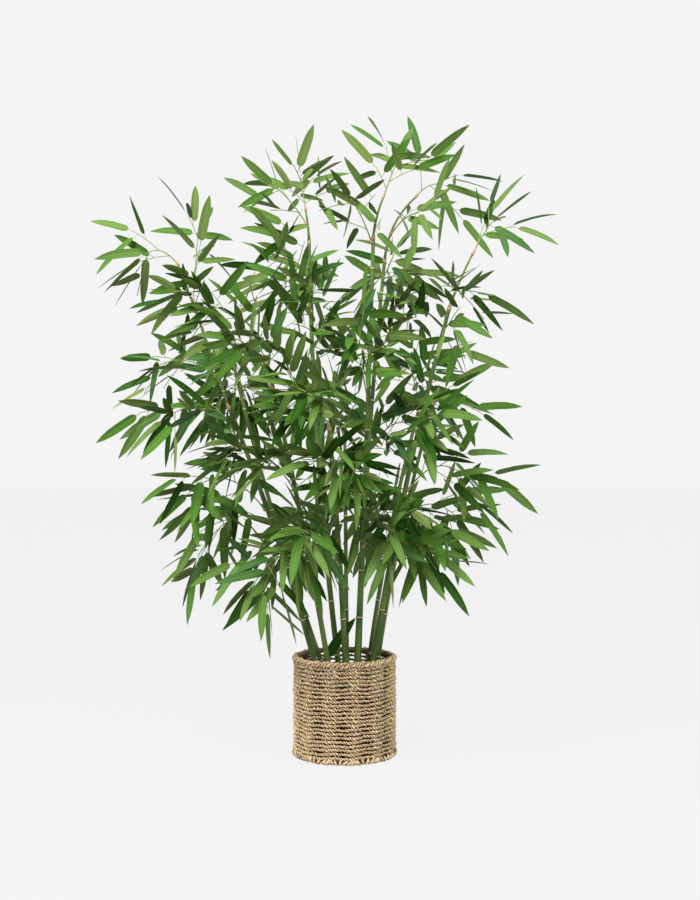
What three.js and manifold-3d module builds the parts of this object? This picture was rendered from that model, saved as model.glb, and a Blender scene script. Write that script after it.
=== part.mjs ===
// Artificial bamboo in a woven seagrass basket, in millimetres, with Z up.
// The origin is the centre of the basket's flat underside. The plant's front faces -Y.
import * as THREE from "three";
import { mergeVertices } from "three/addons/utils/BufferGeometryUtils.js";
import Module from "manifold-3d";

const wasm = await Module();
wasm.setup();

// Driving dimensions of the basket and of the weighted base inside it
const GAP = 0.3;
const BASKET_HEIGHT = 229;
const BASKET_RADIUS = 118;
const BASKET_WALL = 10;
const BASKET_FLOOR = 10;
const BASKET_SIDES = 24;
const ROPE_ROWS = 8;
const ROPE_BULGE = 2.2;
const FOOT_BRAID_HEIGHT = 13;
const FOOT_BRAID_DEPTH = 8;
const FOOT_BRAID_PROUD = 2;
const FOOT_BRAID_ROUND = 4;
const RIM_THICKNESS = 12;
const RIM_WIDTH = 13;
const RIM_FLAT = 6;
const BASE_TOP = 162;
const BASE_RADIUS_TOP = 101;
const BASE_RADIUS_FOOT = 84;
const BASE_LIP = 9;

// Flat sides and lengthways steps of canes, boughs, stems and twigs
const CANE_SIDES = 8;
const CANE_STEPS = 5;
const BOUGH_SIDES = 6;
const BOUGH_STEPS = 3;
const TWIG_SIDES = 3;
const STEM_STEPS = 4;
const TWIG_STEPS = 1;
const SMALLEST_DETAIL = 0.02;
const WELD = 1e-3;

// Driving dimensions of boughs, stems, twigs and leaves
const BOUGH_RADII = [3.2, 2.2];
const STEM_RADII = [2.2, 1.5];
const TWIG_RADII = [1.5, 1.2];
const LEAF_LENGTH = 122;
const LEAF_LENGTH_SPREAD = 0.1;
const LEAF_WIDTH_SHARE = 0.23;
const LEAF_THICKNESS_SHARE = 1 / 85;
const LEAF_WIDEST_AT = 0.34;
const LEAF_NARROWS_AT = 0.65;
const LEAF_MARKED_AT = [0.5, 1];
const LEAF_ROOT_SUNK = 0.6;
const LOWEST_LEAF = 240;

// Each cane stands on the weighted base at foot (x, y), rises to tip (x, y, z) and bows at mid height.
const CANES = {
  cane_far_left: { foot: [-54, -15], tip: [-260, -60, 796], bow: [11, 0, 0], radii: [6.6, 4.6] },
  cane_far_left_back: { foot: [-38, 20], tip: [-263, 80, 906], bow: [-12, 0, 0], radii: [6, 3.8] },
  cane_left: { foot: [-28, -45], tip: [-171, -120, 894], bow: [7, 0, 0], radii: [6.4, 4.2] },
  cane_tall_left: { foot: [-10, 45], tip: [-83, 50, 1186], bow: [-14, 0, 0], radii: [6.8, 4.2] },
  cane_front: { foot: [4, -60], tip: [-33, -140, 748], bow: [4, 0, 0], radii: [6.6, 4.8] },
  cane_short_back: { foot: [6, -5], tip: [0, 170, 720], bow: [0, -14, 0], radii: [5.4, 3.8] },
  cane_tall_centre: { foot: [25, -35], tip: [66, 0, 1186], bow: [3, -8, 0], radii: [6.6, 4.2] },
  cane_tall_right: { foot: [32, 30], tip: [95, 90, 1149], bow: [-10, 0, 0], radii: [6.2, 4] },
  cane_right_back: { foot: [52, 55], tip: [179, 150, 796], bow: [-12, 0, 0], radii: [5.6, 4] },
  cane_far_right: { foot: [57, -20], tip: [238, -40, 1021], bow: [-13, 0, 0], radii: [6.8, 4.4] },
  cane_right_side: { foot: [70, 20], tip: [217, 60, 833], bow: [-14, 0, 0], radii: [5.4, 3.6] },
};

// Each thin bough goes on from the tip of its cane.
const BOUGHS = {
  bough_far_left: { cane: "cane_far_left", tip: [-365, -110, 1102], bow: [2, 0, 0] },
  bough_top_left: { cane: "cane_tall_left", tip: [-90, 46, 1250], bow: [1, 0, 0] },
  bough_top_centre: { cane: "cane_tall_centre", tip: [88, -8, 1270], bow: [-3, 0, 0] },
  bough_top_right: { cane: "cane_tall_right", tip: [167, 100, 1292], bow: [-13, 0, 8] },
  bough_far_right: { cane: "cane_far_right", tip: [286, -60, 1132], bow: [-2, 0, 0] },
};

// Each spray of leaves grows from the share "at" along its limb, 1 being the limb's tip, out to tip.
// The twigs of a flat spray stand left and right of its stem.
const FLAT_SPRAYS = {
  spray_top_left: { limb: "bough_top_left", at: 1, tip: [-102, 42, 1326], arch: 0, twigs: 3 },
  spray_top_left_side: { limb: "bough_top_left", at: 0.45, tip: [-160, 4, 1298], arch: 8, twigs: 3 },
  spray_upper_left: { limb: "cane_tall_left", at: 0.84, tip: [-146, -56, 1168], arch: 12, twigs: 4 },
  spray_top_centre_left: { limb: "cane_tall_centre", at: 0.975, tip: [14, -64, 1256], arch: 10, twigs: 3 },
  spray_top_peak: { limb: "bough_top_centre", at: 1, tip: [118, -14, 1350], arch: 0, twigs: 4 },
  spray_top_right: { limb: "bough_top_right", at: 1, tip: [230, 114, 1326], arch: 12, twigs: 3 },
  spray_top_right_inner: { limb: "bough_top_right", at: 0.3, tip: [166, -60, 1226], arch: 12, twigs: 3 },
  spray_right_top: { limb: "bough_far_right", at: 1, tip: [328, -72, 1202], arch: 4, twigs: 3 },
  spray_right_upper: { limb: "bough_far_right", at: 0.2, tip: [262, -90, 1030], arch: 12, twigs: 4 },
  spray_arch_tip: { limb: "bough_far_left", at: 1, tip: [-438, -126, 1120], arch: 20, twigs: 3 },
  spray_arch_top: { limb: "bough_far_left", at: 0.72, tip: [-330, -30, 1190], arch: 14, twigs: 3 },
  spray_arch_under: { limb: "bough_far_left", at: 0.5, tip: [-346, -150, 1044], arch: 16, twigs: 4 },
  spray_arch_inner: { limb: "cane_left", at: 1, tip: [-292, -180, 1004], arch: 26, twigs: 5 },
  spray_left_upper: { limb: "bough_far_left", at: 0.18, tip: [-416, -60, 884], arch: 24, twigs: 5 },
  spray_left_middle: { limb: "cane_far_left", at: 0.92, tip: [-388, -150, 762], arch: 34, twigs: 5 },
  spray_left_lower: { limb: "cane_far_left", at: 0.6, tip: [-346, -70, 600], arch: 50, twigs: 5 },
  spray_left_low_back: { limb: "cane_far_left_back", at: 0.46, tip: [-344, 70, 446], arch: 60, twigs: 5 },
  spray_bottom_left: { limb: "cane_left", at: 0.36, tip: [-200, -130, 396], arch: 46, twigs: 5 },
  spray_right_middle_upper: { limb: "cane_far_right", at: 0.88, tip: [240, -116, 966], arch: 22, twigs: 4 },
  spray_right_middle: { limb: "cane_right_side", at: 0.94, tip: [224, 24, 812], arch: 12, twigs: 4 },
  spray_right_lower: { limb: "cane_far_right", at: 0.5, tip: [270, -90, 634], arch: 40, twigs: 5 },
  spray_right_low_back: { limb: "cane_right_back", at: 0.52, tip: [262, 110, 540], arch: 44, twigs: 4 },
  spray_bottom_right: { limb: "cane_far_right", at: 0.26, tip: [176, -108, 480], arch: 40, twigs: 5 },
};

// The twigs of a round spray stand all round its stem.
const ROUND_SPRAYS = {
  spray_front_low_left: { limb: "cane_front", at: 0.46, tip: [-116, -220, 520], arch: 34, twigs: 5 },
  spray_front_low_right: { limb: "cane_tall_centre", at: 0.3, tip: [96, -200, 520], arch: 34, twigs: 5 },
  spray_front_low_centre: { limb: "cane_front", at: 0.82, tip: [-16, -250, 646], arch: 24, twigs: 5 },
  spray_front_middle_left: { limb: "cane_left", at: 0.6, tip: [-240, -180, 700], arch: 30, twigs: 5 },
  spray_front_middle: { limb: "cane_front", at: 1, tip: [-110, -250, 830], arch: 14, twigs: 5 },
  spray_front_middle_right: { limb: "cane_tall_centre", at: 0.5, tip: [160, -180, 740], arch: 40, twigs: 5 },
  spray_front_centre: { limb: "cane_tall_centre", at: 0.66, tip: [30, -220, 920], arch: 26, twigs: 5 },
  spray_front_upper_left: { limb: "cane_left", at: 0.9, tip: [-230, -220, 930], arch: 22, twigs: 5 },
  spray_front_upper: { limb: "cane_tall_left", at: 0.68, tip: [-70, -120, 1060], arch: 22, twigs: 5 },
  spray_front_upper_right: { limb: "cane_tall_right", at: 0.76, tip: [176, -70, 1000], arch: 26, twigs: 5 },
  spray_back_low_left: { limb: "cane_tall_left", at: 0.26, tip: [-130, 220, 500], arch: 50, twigs: 5 },
  spray_back_low_right: { limb: "cane_tall_right", at: 0.3, tip: [110, 240, 530], arch: 50, twigs: 5 },
  spray_back_middle_left: { limb: "cane_far_left_back", at: 0.88, tip: [-260, 220, 840], arch: 30, twigs: 5 },
  spray_back_middle: { limb: "cane_short_back", at: 1, tip: [-60, 270, 820], arch: 20, twigs: 5 },
  spray_back_middle_right: { limb: "cane_right_back", at: 1, tip: [160, 260, 900], arch: 14, twigs: 5 },
  spray_back_upper_left: { limb: "cane_tall_left", at: 0.84, tip: [-150, 200, 1090], arch: 22, twigs: 5 },
  spray_back_upper_right: { limb: "cane_tall_right", at: 0.92, tip: [110, 240, 1130], arch: 22, twigs: 5 },
};

const SPRAYS = { ...FLAT_SPRAYS, ...ROUND_SPRAYS };

// How a spray branches. Angles are in degrees, and a pair is a range that is drawn from.
const SEED = 20;
const FIRST_TWIG_AT = 0.24;
const LAST_TWIG_AT = 0.86;
const TWIG_LENGTH = [60, 103];
const TWIG_OPENING = [34, 62];
const TWIG_ROLL_SPREAD = 40;
const TWIG_SAG = 0.16;
const TWIG_ARCH = 0.04;
const ROUND_OPENING = [42, 78];
const ROUND_TURN = 137.5;
const FAN_TURN_SPREAD = 50;
const LEAF_TURN_SPREAD = 28;
const LEAF_ROLL_SPREAD = 55;
const LEAF_DEPTH = 0.8;
const LEAF_SAG = [0.08, 0.32];
const SIDE_LEAF_OPENING = [40, 76];
const END_LEAF_OPENING = [-14, 14];
const TWIG_LEAVES = [
  { at: 0.5, side: 1, opening: SIDE_LEAF_OPENING },
  { at: 0.8, side: -1, opening: SIDE_LEAF_OPENING },
  { at: 0.98, side: 1, opening: END_LEAF_OPENING },
];
const STEM_LEAVES = [
  { at: 0.9, side: 1, opening: SIDE_LEAF_OPENING },
  { at: 0.99, side: 1, opening: END_LEAF_OPENING },
];

// How a twig or leaf finds room: each further try turns more freely and grows shorter,
// and a leaf may then stand closer to the other leaves of its spray.
const TRIES = 24;
const FREER = 0.2;
const SHORTER = 0.985;
const SPACE_MARGIN = 1.6;
const LEAF_CLEARANCE = 5.5;
const LEAF_APART = 40;
const CLOSER = 0.93;
const TWIG_CLEARANCE = 2;
const TWIG_TESTED_AT = [0.4, 0.7, 1];
const PATH_STEPS = 8;

const UP = new THREE.Vector3(0, 0, 1);
const NORTH = new THREE.Vector3(0, 1, 0);
const LIGHT = new THREE.Vector3(0, -0.8, 0.6);
const STEEP = 0.7;
const NEARLY_ALONG = 0.2;

const { degToRad, lerp } = THREE.MathUtils;

function vector([x, y, z]) {
  return new THREE.Vector3(x, y, z);
}

function finish(color, roughness, metalness = 0) {
  return new THREE.MeshStandardMaterial({ color, roughness, metalness });
}

const FINISHES = {
  seagrass: finish(0xbe9f73, 0.9),
  base: finish(0x2c2620, 0.95),
  cane: finish(0x4f6b35, 0.6),
  bough: finish(0x6b7f3a, 0.6),
  foliage: finish(0x3f7a33, 0.65),
};

// Seeded random numbers from 0 up to 1, the same on every run.
function seededRandom(seed) {
  const step = 0x6d2b79f5;
  let state = seed >>> 0;
  return () => {
    state = (state + step) >>> 0;
    let mixed = Math.imul(state ^ (state >>> 15), state | 1);
    mixed ^= mixed + Math.imul(mixed ^ (mixed >>> 7), mixed | 61);
    return ((mixed ^ (mixed >>> 14)) >>> 0) / 2 ** 32;
  };
}

// A number within spread either side of zero.
function either(spread, random) {
  return spread * (2 * random() - 1);
}

// A number within a range.
function within([low, high], random) {
  return lerp(low, high, random());
}

// A curve from start to end whose middle lies off the straight line by bow.
function bowed(start, end, bow) {
  const control = start.clone().lerp(end, 0.5).addScaledVector(bow, 2);
  return new THREE.QuadraticBezierCurve3(start, control, end);
}

// Two directions square to a tangent, without twist as the tangent turns.
function squareTo(tangent, reference) {
  const side = new THREE.Vector3().crossVectors(reference, tangent).normalize();
  const other = new THREE.Vector3().crossVectors(side, tangent);
  return [side, other];
}

// A reference direction that the whole curve stays well away from.
function referenceFor(curve) {
  const chord = curve.getPoint(1).sub(curve.getPoint(0)).normalize();
  return Math.abs(chord.z) > STEEP ? NORTH : UP;
}

// A tapering limb of flat sides, bent along a curve, with a square tip.
// Its foot is cut square to its seat, or to the curve where it has none.
function limbGeometry({ curve, radii, seat, sides, steps }) {
  const geometry = new THREE.CylinderGeometry(1, 1, 1, sides, steps);
  const reference = referenceFor(curve);
  const position = geometry.getAttribute("position");
  for (let i = 0; i < position.count; i++) {
    const along = position.getY(i) + 0.5;
    const radius = lerp(...radii, along);
    const tangent = curve.getTangent(along);
    const [side, other] = squareTo(tangent, reference);
    const place = curve
      .getPoint(along)
      .addScaledVector(side, position.getX(i) * radius)
      .addScaledVector(other, position.getZ(i) * radius);
    if (seat && along === 0) {
      const short = seat.dot(curve.getPoint(0).sub(place)) / seat.dot(tangent);
      place.addScaledVector(tangent, short);
    }
    position.setXYZ(i, place.x, place.y, place.z);
  }
  return geometry;
}

// Closed geometry with only shared positions left.
function closed(geometry) {
  const bare = geometry.clone();
  bare.deleteAttribute("normal");
  bare.deleteAttribute("uv");
  return mergeVertices(bare, WELD);
}

function toSolid(geometry) {
  const merged = closed(geometry);
  return new wasm.Manifold(
    new wasm.Mesh({
      numProp: 3,
      vertProperties: Float32Array.from(merged.getAttribute("position").array),
      triVerts: Uint32Array.from(merged.index.array),
    }),
  );
}

function fromSolid(solid) {
  const mesh = solid.getMesh();
  const geometry = new THREE.BufferGeometry();
  geometry.setAttribute("position", new THREE.BufferAttribute(mesh.vertProperties, 3));
  geometry.setIndex(new THREE.BufferAttribute(mesh.triVerts, 1));
  geometry.computeVertexNormals();
  return geometry;
}

// The pieces joined into one body; a sealed hollow is filled and a loose scrap is dropped.
function joined(geometries) {
  const whole = geometries.map(toSolid).reduce((sum, piece) => sum.add(piece));
  const bodies = toSolid(fromSolid(whole.simplify(SMALLEST_DETAIL))).decompose();
  return fromSolid(bodies.sort((a, b) => b.volume() - a.volume())[0]);
}

// A lathe ring or bowl about Z from profile points of radius and height, given anticlockwise.
function turned(profile, sides) {
  const points = profile.map(([radius, height]) => new THREE.Vector2(radius, height));
  return closed(new THREE.LatheGeometry(points, sides)).rotateX(Math.PI / 2);
}

// Basket: a woven wall on a flat floor, a braid round the foot and a wrapped rim
function basketWallProfile() {
  const low = FOOT_BRAID_HEIGHT + GAP;
  const high = BASKET_HEIGHT - RIM_THICKNESS - GAP;
  const narrow = BASKET_RADIUS + FOOT_BRAID_PROUD - FOOT_BRAID_DEPTH - GAP;
  const row = (high - low) / ROPE_ROWS;
  const outer = [];
  for (let i = 0; i < ROPE_ROWS; i++) {
    outer.push([BASKET_RADIUS - ROPE_BULGE, low + row * i]);
    outer.push([BASKET_RADIUS, low + row * (i + 0.5)]);
  }
  outer.push([BASKET_RADIUS - ROPE_BULGE, high]);
  const inner = BASKET_RADIUS - BASKET_WALL;
  return [
    [0, 0],
    [narrow, 0],
    [narrow, low],
    ...outer,
    [inner, high],
    [inner, BASKET_FLOOR],
    [0, BASKET_FLOOR],
  ];
}

// The rim's section: six-sided, with a flat top and bottom.
function rimProfile() {
  const middle = BASKET_RADIUS - BASKET_WALL / 2;
  const low = BASKET_HEIGHT - RIM_THICKNESS;
  const waist = (low + BASKET_HEIGHT) / 2;
  return [
    [middle - RIM_FLAT / 2, low],
    [middle + RIM_FLAT / 2, low],
    [middle + RIM_WIDTH / 2, waist],
    [middle + RIM_FLAT / 2, BASKET_HEIGHT],
    [middle - RIM_FLAT / 2, BASKET_HEIGHT],
    [middle - RIM_WIDTH / 2, waist],
    [middle - RIM_FLAT / 2, low],
  ];
}

function footBraidProfile() {
  const outer = BASKET_RADIUS + FOOT_BRAID_PROUD;
  const inner = outer - FOOT_BRAID_DEPTH;
  return [
    [inner, 0],
    [outer - FOOT_BRAID_ROUND, 0],
    [outer, FOOT_BRAID_ROUND],
    [outer, FOOT_BRAID_HEIGHT - FOOT_BRAID_ROUND],
    [outer - FOOT_BRAID_ROUND, FOOT_BRAID_HEIGHT],
    [inner, FOOT_BRAID_HEIGHT],
    [inner, 0],
  ];
}

function baseProfile() {
  const foot = BASKET_FLOOR + GAP;
  return [
    [0, foot],
    [BASE_RADIUS_FOOT, foot],
    [BASE_RADIUS_TOP, BASE_TOP - BASE_LIP],
    [BASE_RADIUS_TOP, BASE_TOP],
    [0, BASE_TOP],
  ];
}

// Limbs: canes stand on the base, and boughs go on from cane tips
// A limb's seat is the direction square to what carries it, away from it.
function caneLimb({ foot, tip, bow, radii }) {
  const start = vector([...foot, BASE_TOP + GAP]);
  const curve = bowed(start, vector(tip), vector(bow));
  return { curve, radii, seat: UP, sides: CANE_SIDES, steps: CANE_STEPS };
}

// A limb that goes on from the square tip of the limb below it.
function fromTip(below, { tip, bow, ...rest }) {
  const seat = below.curve.getTangent(1);
  const start = below.curve.getPoint(1).addScaledVector(seat, GAP);
  return { curve: bowed(start, vector(tip), vector(bow)), seat, ...rest };
}

// A point on the middle line of a limb's straight lengths.
function middleAt({ curve, steps }, at) {
  const step = Math.min(Math.floor(at * steps), steps - 1);
  return curve.getPoint(step / steps).lerp(curve.getPoint((step + 1) / steps), at * steps - step);
}

// How far a limb's corners reach from its middle line towards a direction.
function reachAt({ curve, radii, sides }, at, direction) {
  const [side, other] = squareTo(curve.getTangent(at), referenceFor(curve));
  const reaches = Array.from({ length: sides }, (_, i) => {
    const angle = (2 * Math.PI * i) / sides;
    return Math.sin(angle) * side.dot(direction) + Math.cos(angle) * other.dot(direction);
  });
  return lerp(...radii, at) * Math.max(...reaches);
}

// A stem that starts clear of the side of the limb it grows from.
function fromSide(limb, at, { tip, bow, ...rest }) {
  const point = middleAt(limb, at);
  const first = bowed(point, vector(tip), vector(bow)).getTangent(0);
  const seat = first.clone().projectOnPlane(limb.curve.getTangent(at)).normalize();
  const away = (reachAt(limb, at, seat) + GAP) / first.dot(seat);
  const start = point.addScaledVector(first, away);
  return { curve: bowed(start, vector(tip), vector(bow)), seat, ...rest };
}

const limbs = {};
for (const [name, cane] of Object.entries(CANES)) limbs[name] = caneLimb(cane);
for (const [name, { cane, tip, bow }] of Object.entries(BOUGHS)) {
  const bough = { tip, bow, radii: BOUGH_RADII, sides: BOUGH_SIDES, steps: BOUGH_STEPS };
  limbs[name] = fromTip(limbs[cane], bough);
}

const stems = {};
for (const [name, { limb, at, tip, arch }] of Object.entries(SPRAYS)) {
  const stem = { tip, bow: [0, 0, arch], radii: STEM_RADII, sides: TWIG_SIDES, steps: STEM_STEPS };
  stems[name] = at === 1 ? fromTip(limbs[limb], stem) : fromSide(limbs[limb], at, stem);
}

// Distances from a point to limbs and stems, both taken as short straight lengths
function pathOf({ curve, radii }) {
  return { points: curve.getPoints(PATH_STEPS), radius: Math.max(...radii) };
}
const limbPaths = Object.values(limbs).map(pathOf);
const stemPaths = Object.fromEntries(
  Object.entries(stems).map(([name, stem]) => [name, pathOf(stem)]),
);

const segment = new THREE.Line3();
const nearest = new THREE.Vector3();
function distanceToPath(point, { points }) {
  let least = Infinity;
  for (let i = 1; i < points.length; i++) {
    segment.set(points[i - 1], points[i]).closestPointToPoint(point, true, nearest);
    least = Math.min(least, nearest.distanceTo(point));
  }
  return least;
}

// Whether points lie nearer to their own stem than to any other, above the basket and clear of every limb.
function fits(points, own, clearance) {
  return points.every((point) => {
    if (point.z < LOWEST_LEAF) return false;
    const limit = distanceToPath(point, stemPaths[own]) + SPACE_MARGIN;
    for (const [name, path] of Object.entries(stemPaths)) {
      if (name !== own && distanceToPath(point, path) < limit) return false;
    }
    return limbPaths.every((path) => distanceToPath(point, path) > path.radius + clearance);
  });
}

// The face of a flat along an axis, turned as nearly as it can be to the light.
function litFace(axis) {
  const across = new THREE.Vector3().crossVectors(axis, LIGHT);
  if (across.length() < NEARLY_ALONG) across.crossVectors(axis, NORTH);
  return across.cross(axis).normalize();
}

// A direction opened sideways from an axis, within the flat whose face points to `face`.
function openedIn(axis, face, opening) {
  const sideways = new THREE.Vector3().crossVectors(axis, face).normalize();
  return axis.clone().multiplyScalar(Math.cos(opening)).addScaledVector(sideways, Math.sin(opening));
}

// A leaf: a flat eight-sided blade from its sunken root to its point.
function leafFrame(root, direction, face, length) {
  const across = new THREE.Vector3().crossVectors(direction, face).normalize();
  const upper = new THREE.Vector3().crossVectors(across, direction).normalize();
  return { root, direction, across, face: upper, length };
}

function leafPoint({ root, direction, across, face, length }, along, side, lift) {
  return root
    .clone()
    .addScaledVector(direction, along * length)
    .addScaledVector(across, (side * length * LEAF_WIDTH_SHARE) / 2)
    .addScaledVector(face, (lift * length * LEAF_THICKNESS_SHARE) / 2);
}

function leafGeometry(leaf) {
  const geometry = new THREE.OctahedronGeometry(1);
  const position = geometry.getAttribute("position");
  for (let i = 0; i < position.count; i++) {
    const ahead = Math.round(position.getY(i));
    const along = ahead > 0 ? 1 : ahead < 0 ? 0 : LEAF_WIDEST_AT;
    const place = leafPoint(leaf, along, Math.round(position.getX(i)), Math.round(position.getZ(i)));
    position.setXYZ(i, place.x, place.y, place.z);
  }
  return geometry;
}

// Points on a leaf's outline that are tested for space.
function leafOutline(leaf) {
  const outline = [leafPoint(leaf, 1, 0, 0), leafPoint(leaf, LEAF_NARROWS_AT, 0, 0)];
  for (const side of [-1, 1]) {
    outline.push(leafPoint(leaf, LEAF_WIDEST_AT, side, 0));
    outline.push(leafPoint(leaf, LEAF_NARROWS_AT, side / 2, 0));
    outline.push(leafPoint(leaf, LEAF_WIDEST_AT / 2, side / 2, 0));
  }
  return outline;
}

// The least distance from a leaf's middle and tip to those of the leaves before it.
function roomFor(leaf, others) {
  const marks = (one) => LEAF_MARKED_AT.map((along) => leafPoint(one, along, 0, 0));
  const apart = marks(leaf).flatMap((mark) => others.flatMap(marks).map((other) => mark.distanceTo(other)));
  return Math.min(...apart);
}

function growLeaf(shoot, { at, side, opening }, { own, others, random }) {
  const axis = shoot.curve.getTangent(at);
  const root = shoot.curve.getPoint(at).addScaledVector(axis, -LEAF_ROOT_SUNK);
  for (let attempt = 0; attempt < TRIES; attempt++) {
    const turn = either(LEAF_TURN_SPREAD * (1 + FREER * attempt), random);
    const face = shoot.face.clone().applyAxisAngle(axis, degToRad(turn));
    const opened = side * degToRad(within(opening, random));
    const length = LEAF_LENGTH * (1 + either(LEAF_LENGTH_SPREAD, random)) * SHORTER ** attempt;
    const direction = openedIn(axis, face, opened)
      .multiply(new THREE.Vector3(1, LEAF_DEPTH, 1))
      .addScaledVector(UP, -within(LEAF_SAG, random))
      .normalize();
    face.applyAxisAngle(direction, degToRad(either(LEAF_ROLL_SPREAD, random)));
    const leaf = leafFrame(root, direction, face, length);
    if (roomFor(leaf, others) < LEAF_APART * CLOSER ** attempt) continue;
    if (fits(leafOutline(leaf), own, LEAF_CLEARANCE)) return leaf;
  }
  return null;
}

// In a flat spray twigs stand left and right by turns; in a round one each is turned on from the last.
function twigPlace(round, i) {
  return round
    ? { turn: ROUND_TURN * i, side: 1, opening: ROUND_OPENING }
    : { turn: 0, side: i % 2 ? 1 : -1, opening: TWIG_OPENING };
}

function growTwig(stem, at, { turn, side, opening }, own, random) {
  const axis = stem.curve.getTangent(at);
  const start = stem.curve.getPoint(at);
  for (let attempt = 0; attempt < TRIES; attempt++) {
    const roll = turn + either(TWIG_ROLL_SPREAD * (1 + FREER * attempt), random);
    const face = stem.face.clone().applyAxisAngle(axis, degToRad(roll));
    const direction = openedIn(axis, face, side * degToRad(within(opening, random)));
    const length = within(TWIG_LENGTH, random) * SHORTER ** attempt;
    const end = start.clone().addScaledVector(direction, length).addScaledVector(UP, -TWIG_SAG * length);
    const curve = bowed(start, end, UP.clone().multiplyScalar(TWIG_ARCH * length));
    const fanTurn = degToRad(either(FAN_TURN_SPREAD, random));
    const fan = litFace(direction).applyAxisAngle(direction, fanTurn);
    const tested = TWIG_TESTED_AT.map((share) => curve.getPoint(share));
    if (fits(tested, own, TWIG_CLEARANCE)) {
      return { curve, radii: TWIG_RADII, sides: TWIG_SIDES, steps: TWIG_STEPS, face: fan };
    }
  }
  return null;
}

// The twigs and leaves of one spray, each kept to the spray's own space.
function growSpray(name, { twigs: count }, seed) {
  const random = seededRandom(seed);
  const round = name in ROUND_SPRAYS;
  const chord = stems[name].curve.getTangent(0.5);
  const fanTurn = degToRad(either(FAN_TURN_SPREAD, random));
  const stem = { ...stems[name], face: litFace(chord).applyAxisAngle(chord, fanTurn) };
  const twigs = [];
  const leaves = [];
  const growLeaves = (shoot, places) => {
    for (const place of places) {
      const leaf = growLeaf(shoot, place, { own: name, others: leaves, random });
      if (leaf) leaves.push(leaf);
    }
  };
  for (let i = 0; i < count; i++) {
    const at = lerp(FIRST_TWIG_AT, LAST_TWIG_AT, i / (count - 1));
    const twig = growTwig(stem, at, twigPlace(round, i), name, random);
    if (!twig) continue;
    twigs.push(twig);
    growLeaves(twig, TWIG_LEAVES);
  }
  growLeaves(stem, STEM_LEAVES);
  return { stem, twigs, leaves };
}

function sprayGeometry({ stem, twigs, leaves }) {
  return joined([...[stem, ...twigs].map(limbGeometry), ...leaves.map(leafGeometry)]);
}

function addPiece(group, name, geometry, material) {
  const mesh = new THREE.Mesh(geometry, material);
  mesh.name = name;
  group.add(mesh);
}

const basket = new THREE.Group();
addPiece(basket, "basket_wall", turned(basketWallProfile(), BASKET_SIDES), FINISHES.seagrass);
addPiece(basket, "basket_rim", turned(rimProfile(), BASKET_SIDES), FINISHES.seagrass);
addPiece(basket, "basket_foot_braid", turned(footBraidProfile(), BASKET_SIDES), FINISHES.seagrass);
addPiece(basket, "weighted_base", turned(baseProfile(), BASKET_SIDES), FINISHES.base);

const canes = new THREE.Group();
for (const name of Object.keys(CANES)) {
  addPiece(canes, name, closed(limbGeometry(limbs[name])), FINISHES.cane);
}
for (const name of Object.keys(BOUGHS)) {
  addPiece(canes, name, closed(limbGeometry(limbs[name])), FINISHES.bough);
}

const crown = new THREE.Group();
Object.entries(SPRAYS).forEach(([name, spray], i) => {
  addPiece(crown, name, sprayGeometry(growSpray(name, spray, SEED + i)), FINISHES.foliage);
});

const plant = new THREE.Group();
plant.add(basket, canes, crown);

export default plant;
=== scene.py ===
"""Artificial bamboo in a woven seagrass basket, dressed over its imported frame, in metres with Z up.

The basket is a twisted rope woven as one long spiral round upright stakes. Canes stand on the ballast of a
dark pot inside it, and the crown grows on from them by the same seeded rule as the solids, carried on to
finer twigs and more leaves.
"""

import logging
import math
from collections.abc import Iterable, Sequence
from dataclasses import dataclass, field, fields
from enum import Enum

import bpy
import numpy as np
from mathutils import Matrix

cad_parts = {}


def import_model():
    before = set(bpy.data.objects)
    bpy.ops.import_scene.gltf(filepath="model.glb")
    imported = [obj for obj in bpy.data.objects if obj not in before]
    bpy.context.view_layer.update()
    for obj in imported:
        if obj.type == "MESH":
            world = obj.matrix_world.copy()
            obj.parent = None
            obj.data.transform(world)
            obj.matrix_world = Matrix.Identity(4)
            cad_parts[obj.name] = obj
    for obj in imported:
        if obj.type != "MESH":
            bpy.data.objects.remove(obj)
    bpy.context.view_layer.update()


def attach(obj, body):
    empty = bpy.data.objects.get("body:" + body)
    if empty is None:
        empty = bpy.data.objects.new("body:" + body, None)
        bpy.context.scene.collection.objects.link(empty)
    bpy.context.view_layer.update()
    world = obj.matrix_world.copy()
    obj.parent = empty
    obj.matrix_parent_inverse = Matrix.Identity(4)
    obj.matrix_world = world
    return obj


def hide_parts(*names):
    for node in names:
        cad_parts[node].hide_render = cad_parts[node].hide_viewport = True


log = logging.getLogger("bamboo")

MM = 0.001
TURN = 2 * math.pi
UV_NAME = "OFBake"
UV_MARGIN = 0.08
UV_ROW_MARGIN = 0.1
MARK_NAME = "groove"
MERGE_WITHIN = 0.01 * MM
UP = np.array([0.0, 0.0, 1.0])
NORTH = np.array([0.0, 1.0, 0.0])

Vector3 = np.ndarray
Socket = bpy.types.NodeSocket
Material = bpy.types.Material
Triple = tuple[float, float, float]
Colour = Triple
Limits = tuple[float, float]


class Slot(Enum):
    """The record's material slots."""

    SEAGRASS = "seagrass"
    BASE = "base"
    CANE = "cane"
    BOUGH = "bough"
    FOLIAGE = "foliage"


def millimetres(*values: float) -> Vector3:
    """A point given in millimetres, in metres."""
    return np.array(values, float) * MM


def unit(vector: np.ndarray) -> np.ndarray:
    """The vector, or each row of vectors, at length one."""
    return vector / np.linalg.norm(vector, axis=-1, keepdims=True)


def lerp(low: float, high: float, share: float) -> float:
    """The value at a share of the way from low to high."""
    return (1 - share) * low + share * high


def grey(value: float) -> Colour:
    """A grey as linear light."""
    return (value, value, value)


def turned_about(vector: Vector3, axis: Vector3, angle: float) -> Vector3:
    """A vector turned about an axis by an angle in radians."""
    along = axis * np.dot(axis, vector) * (1 - math.cos(angle))
    return vector * math.cos(angle) + np.cross(axis, vector) * math.sin(angle) + along


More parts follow.
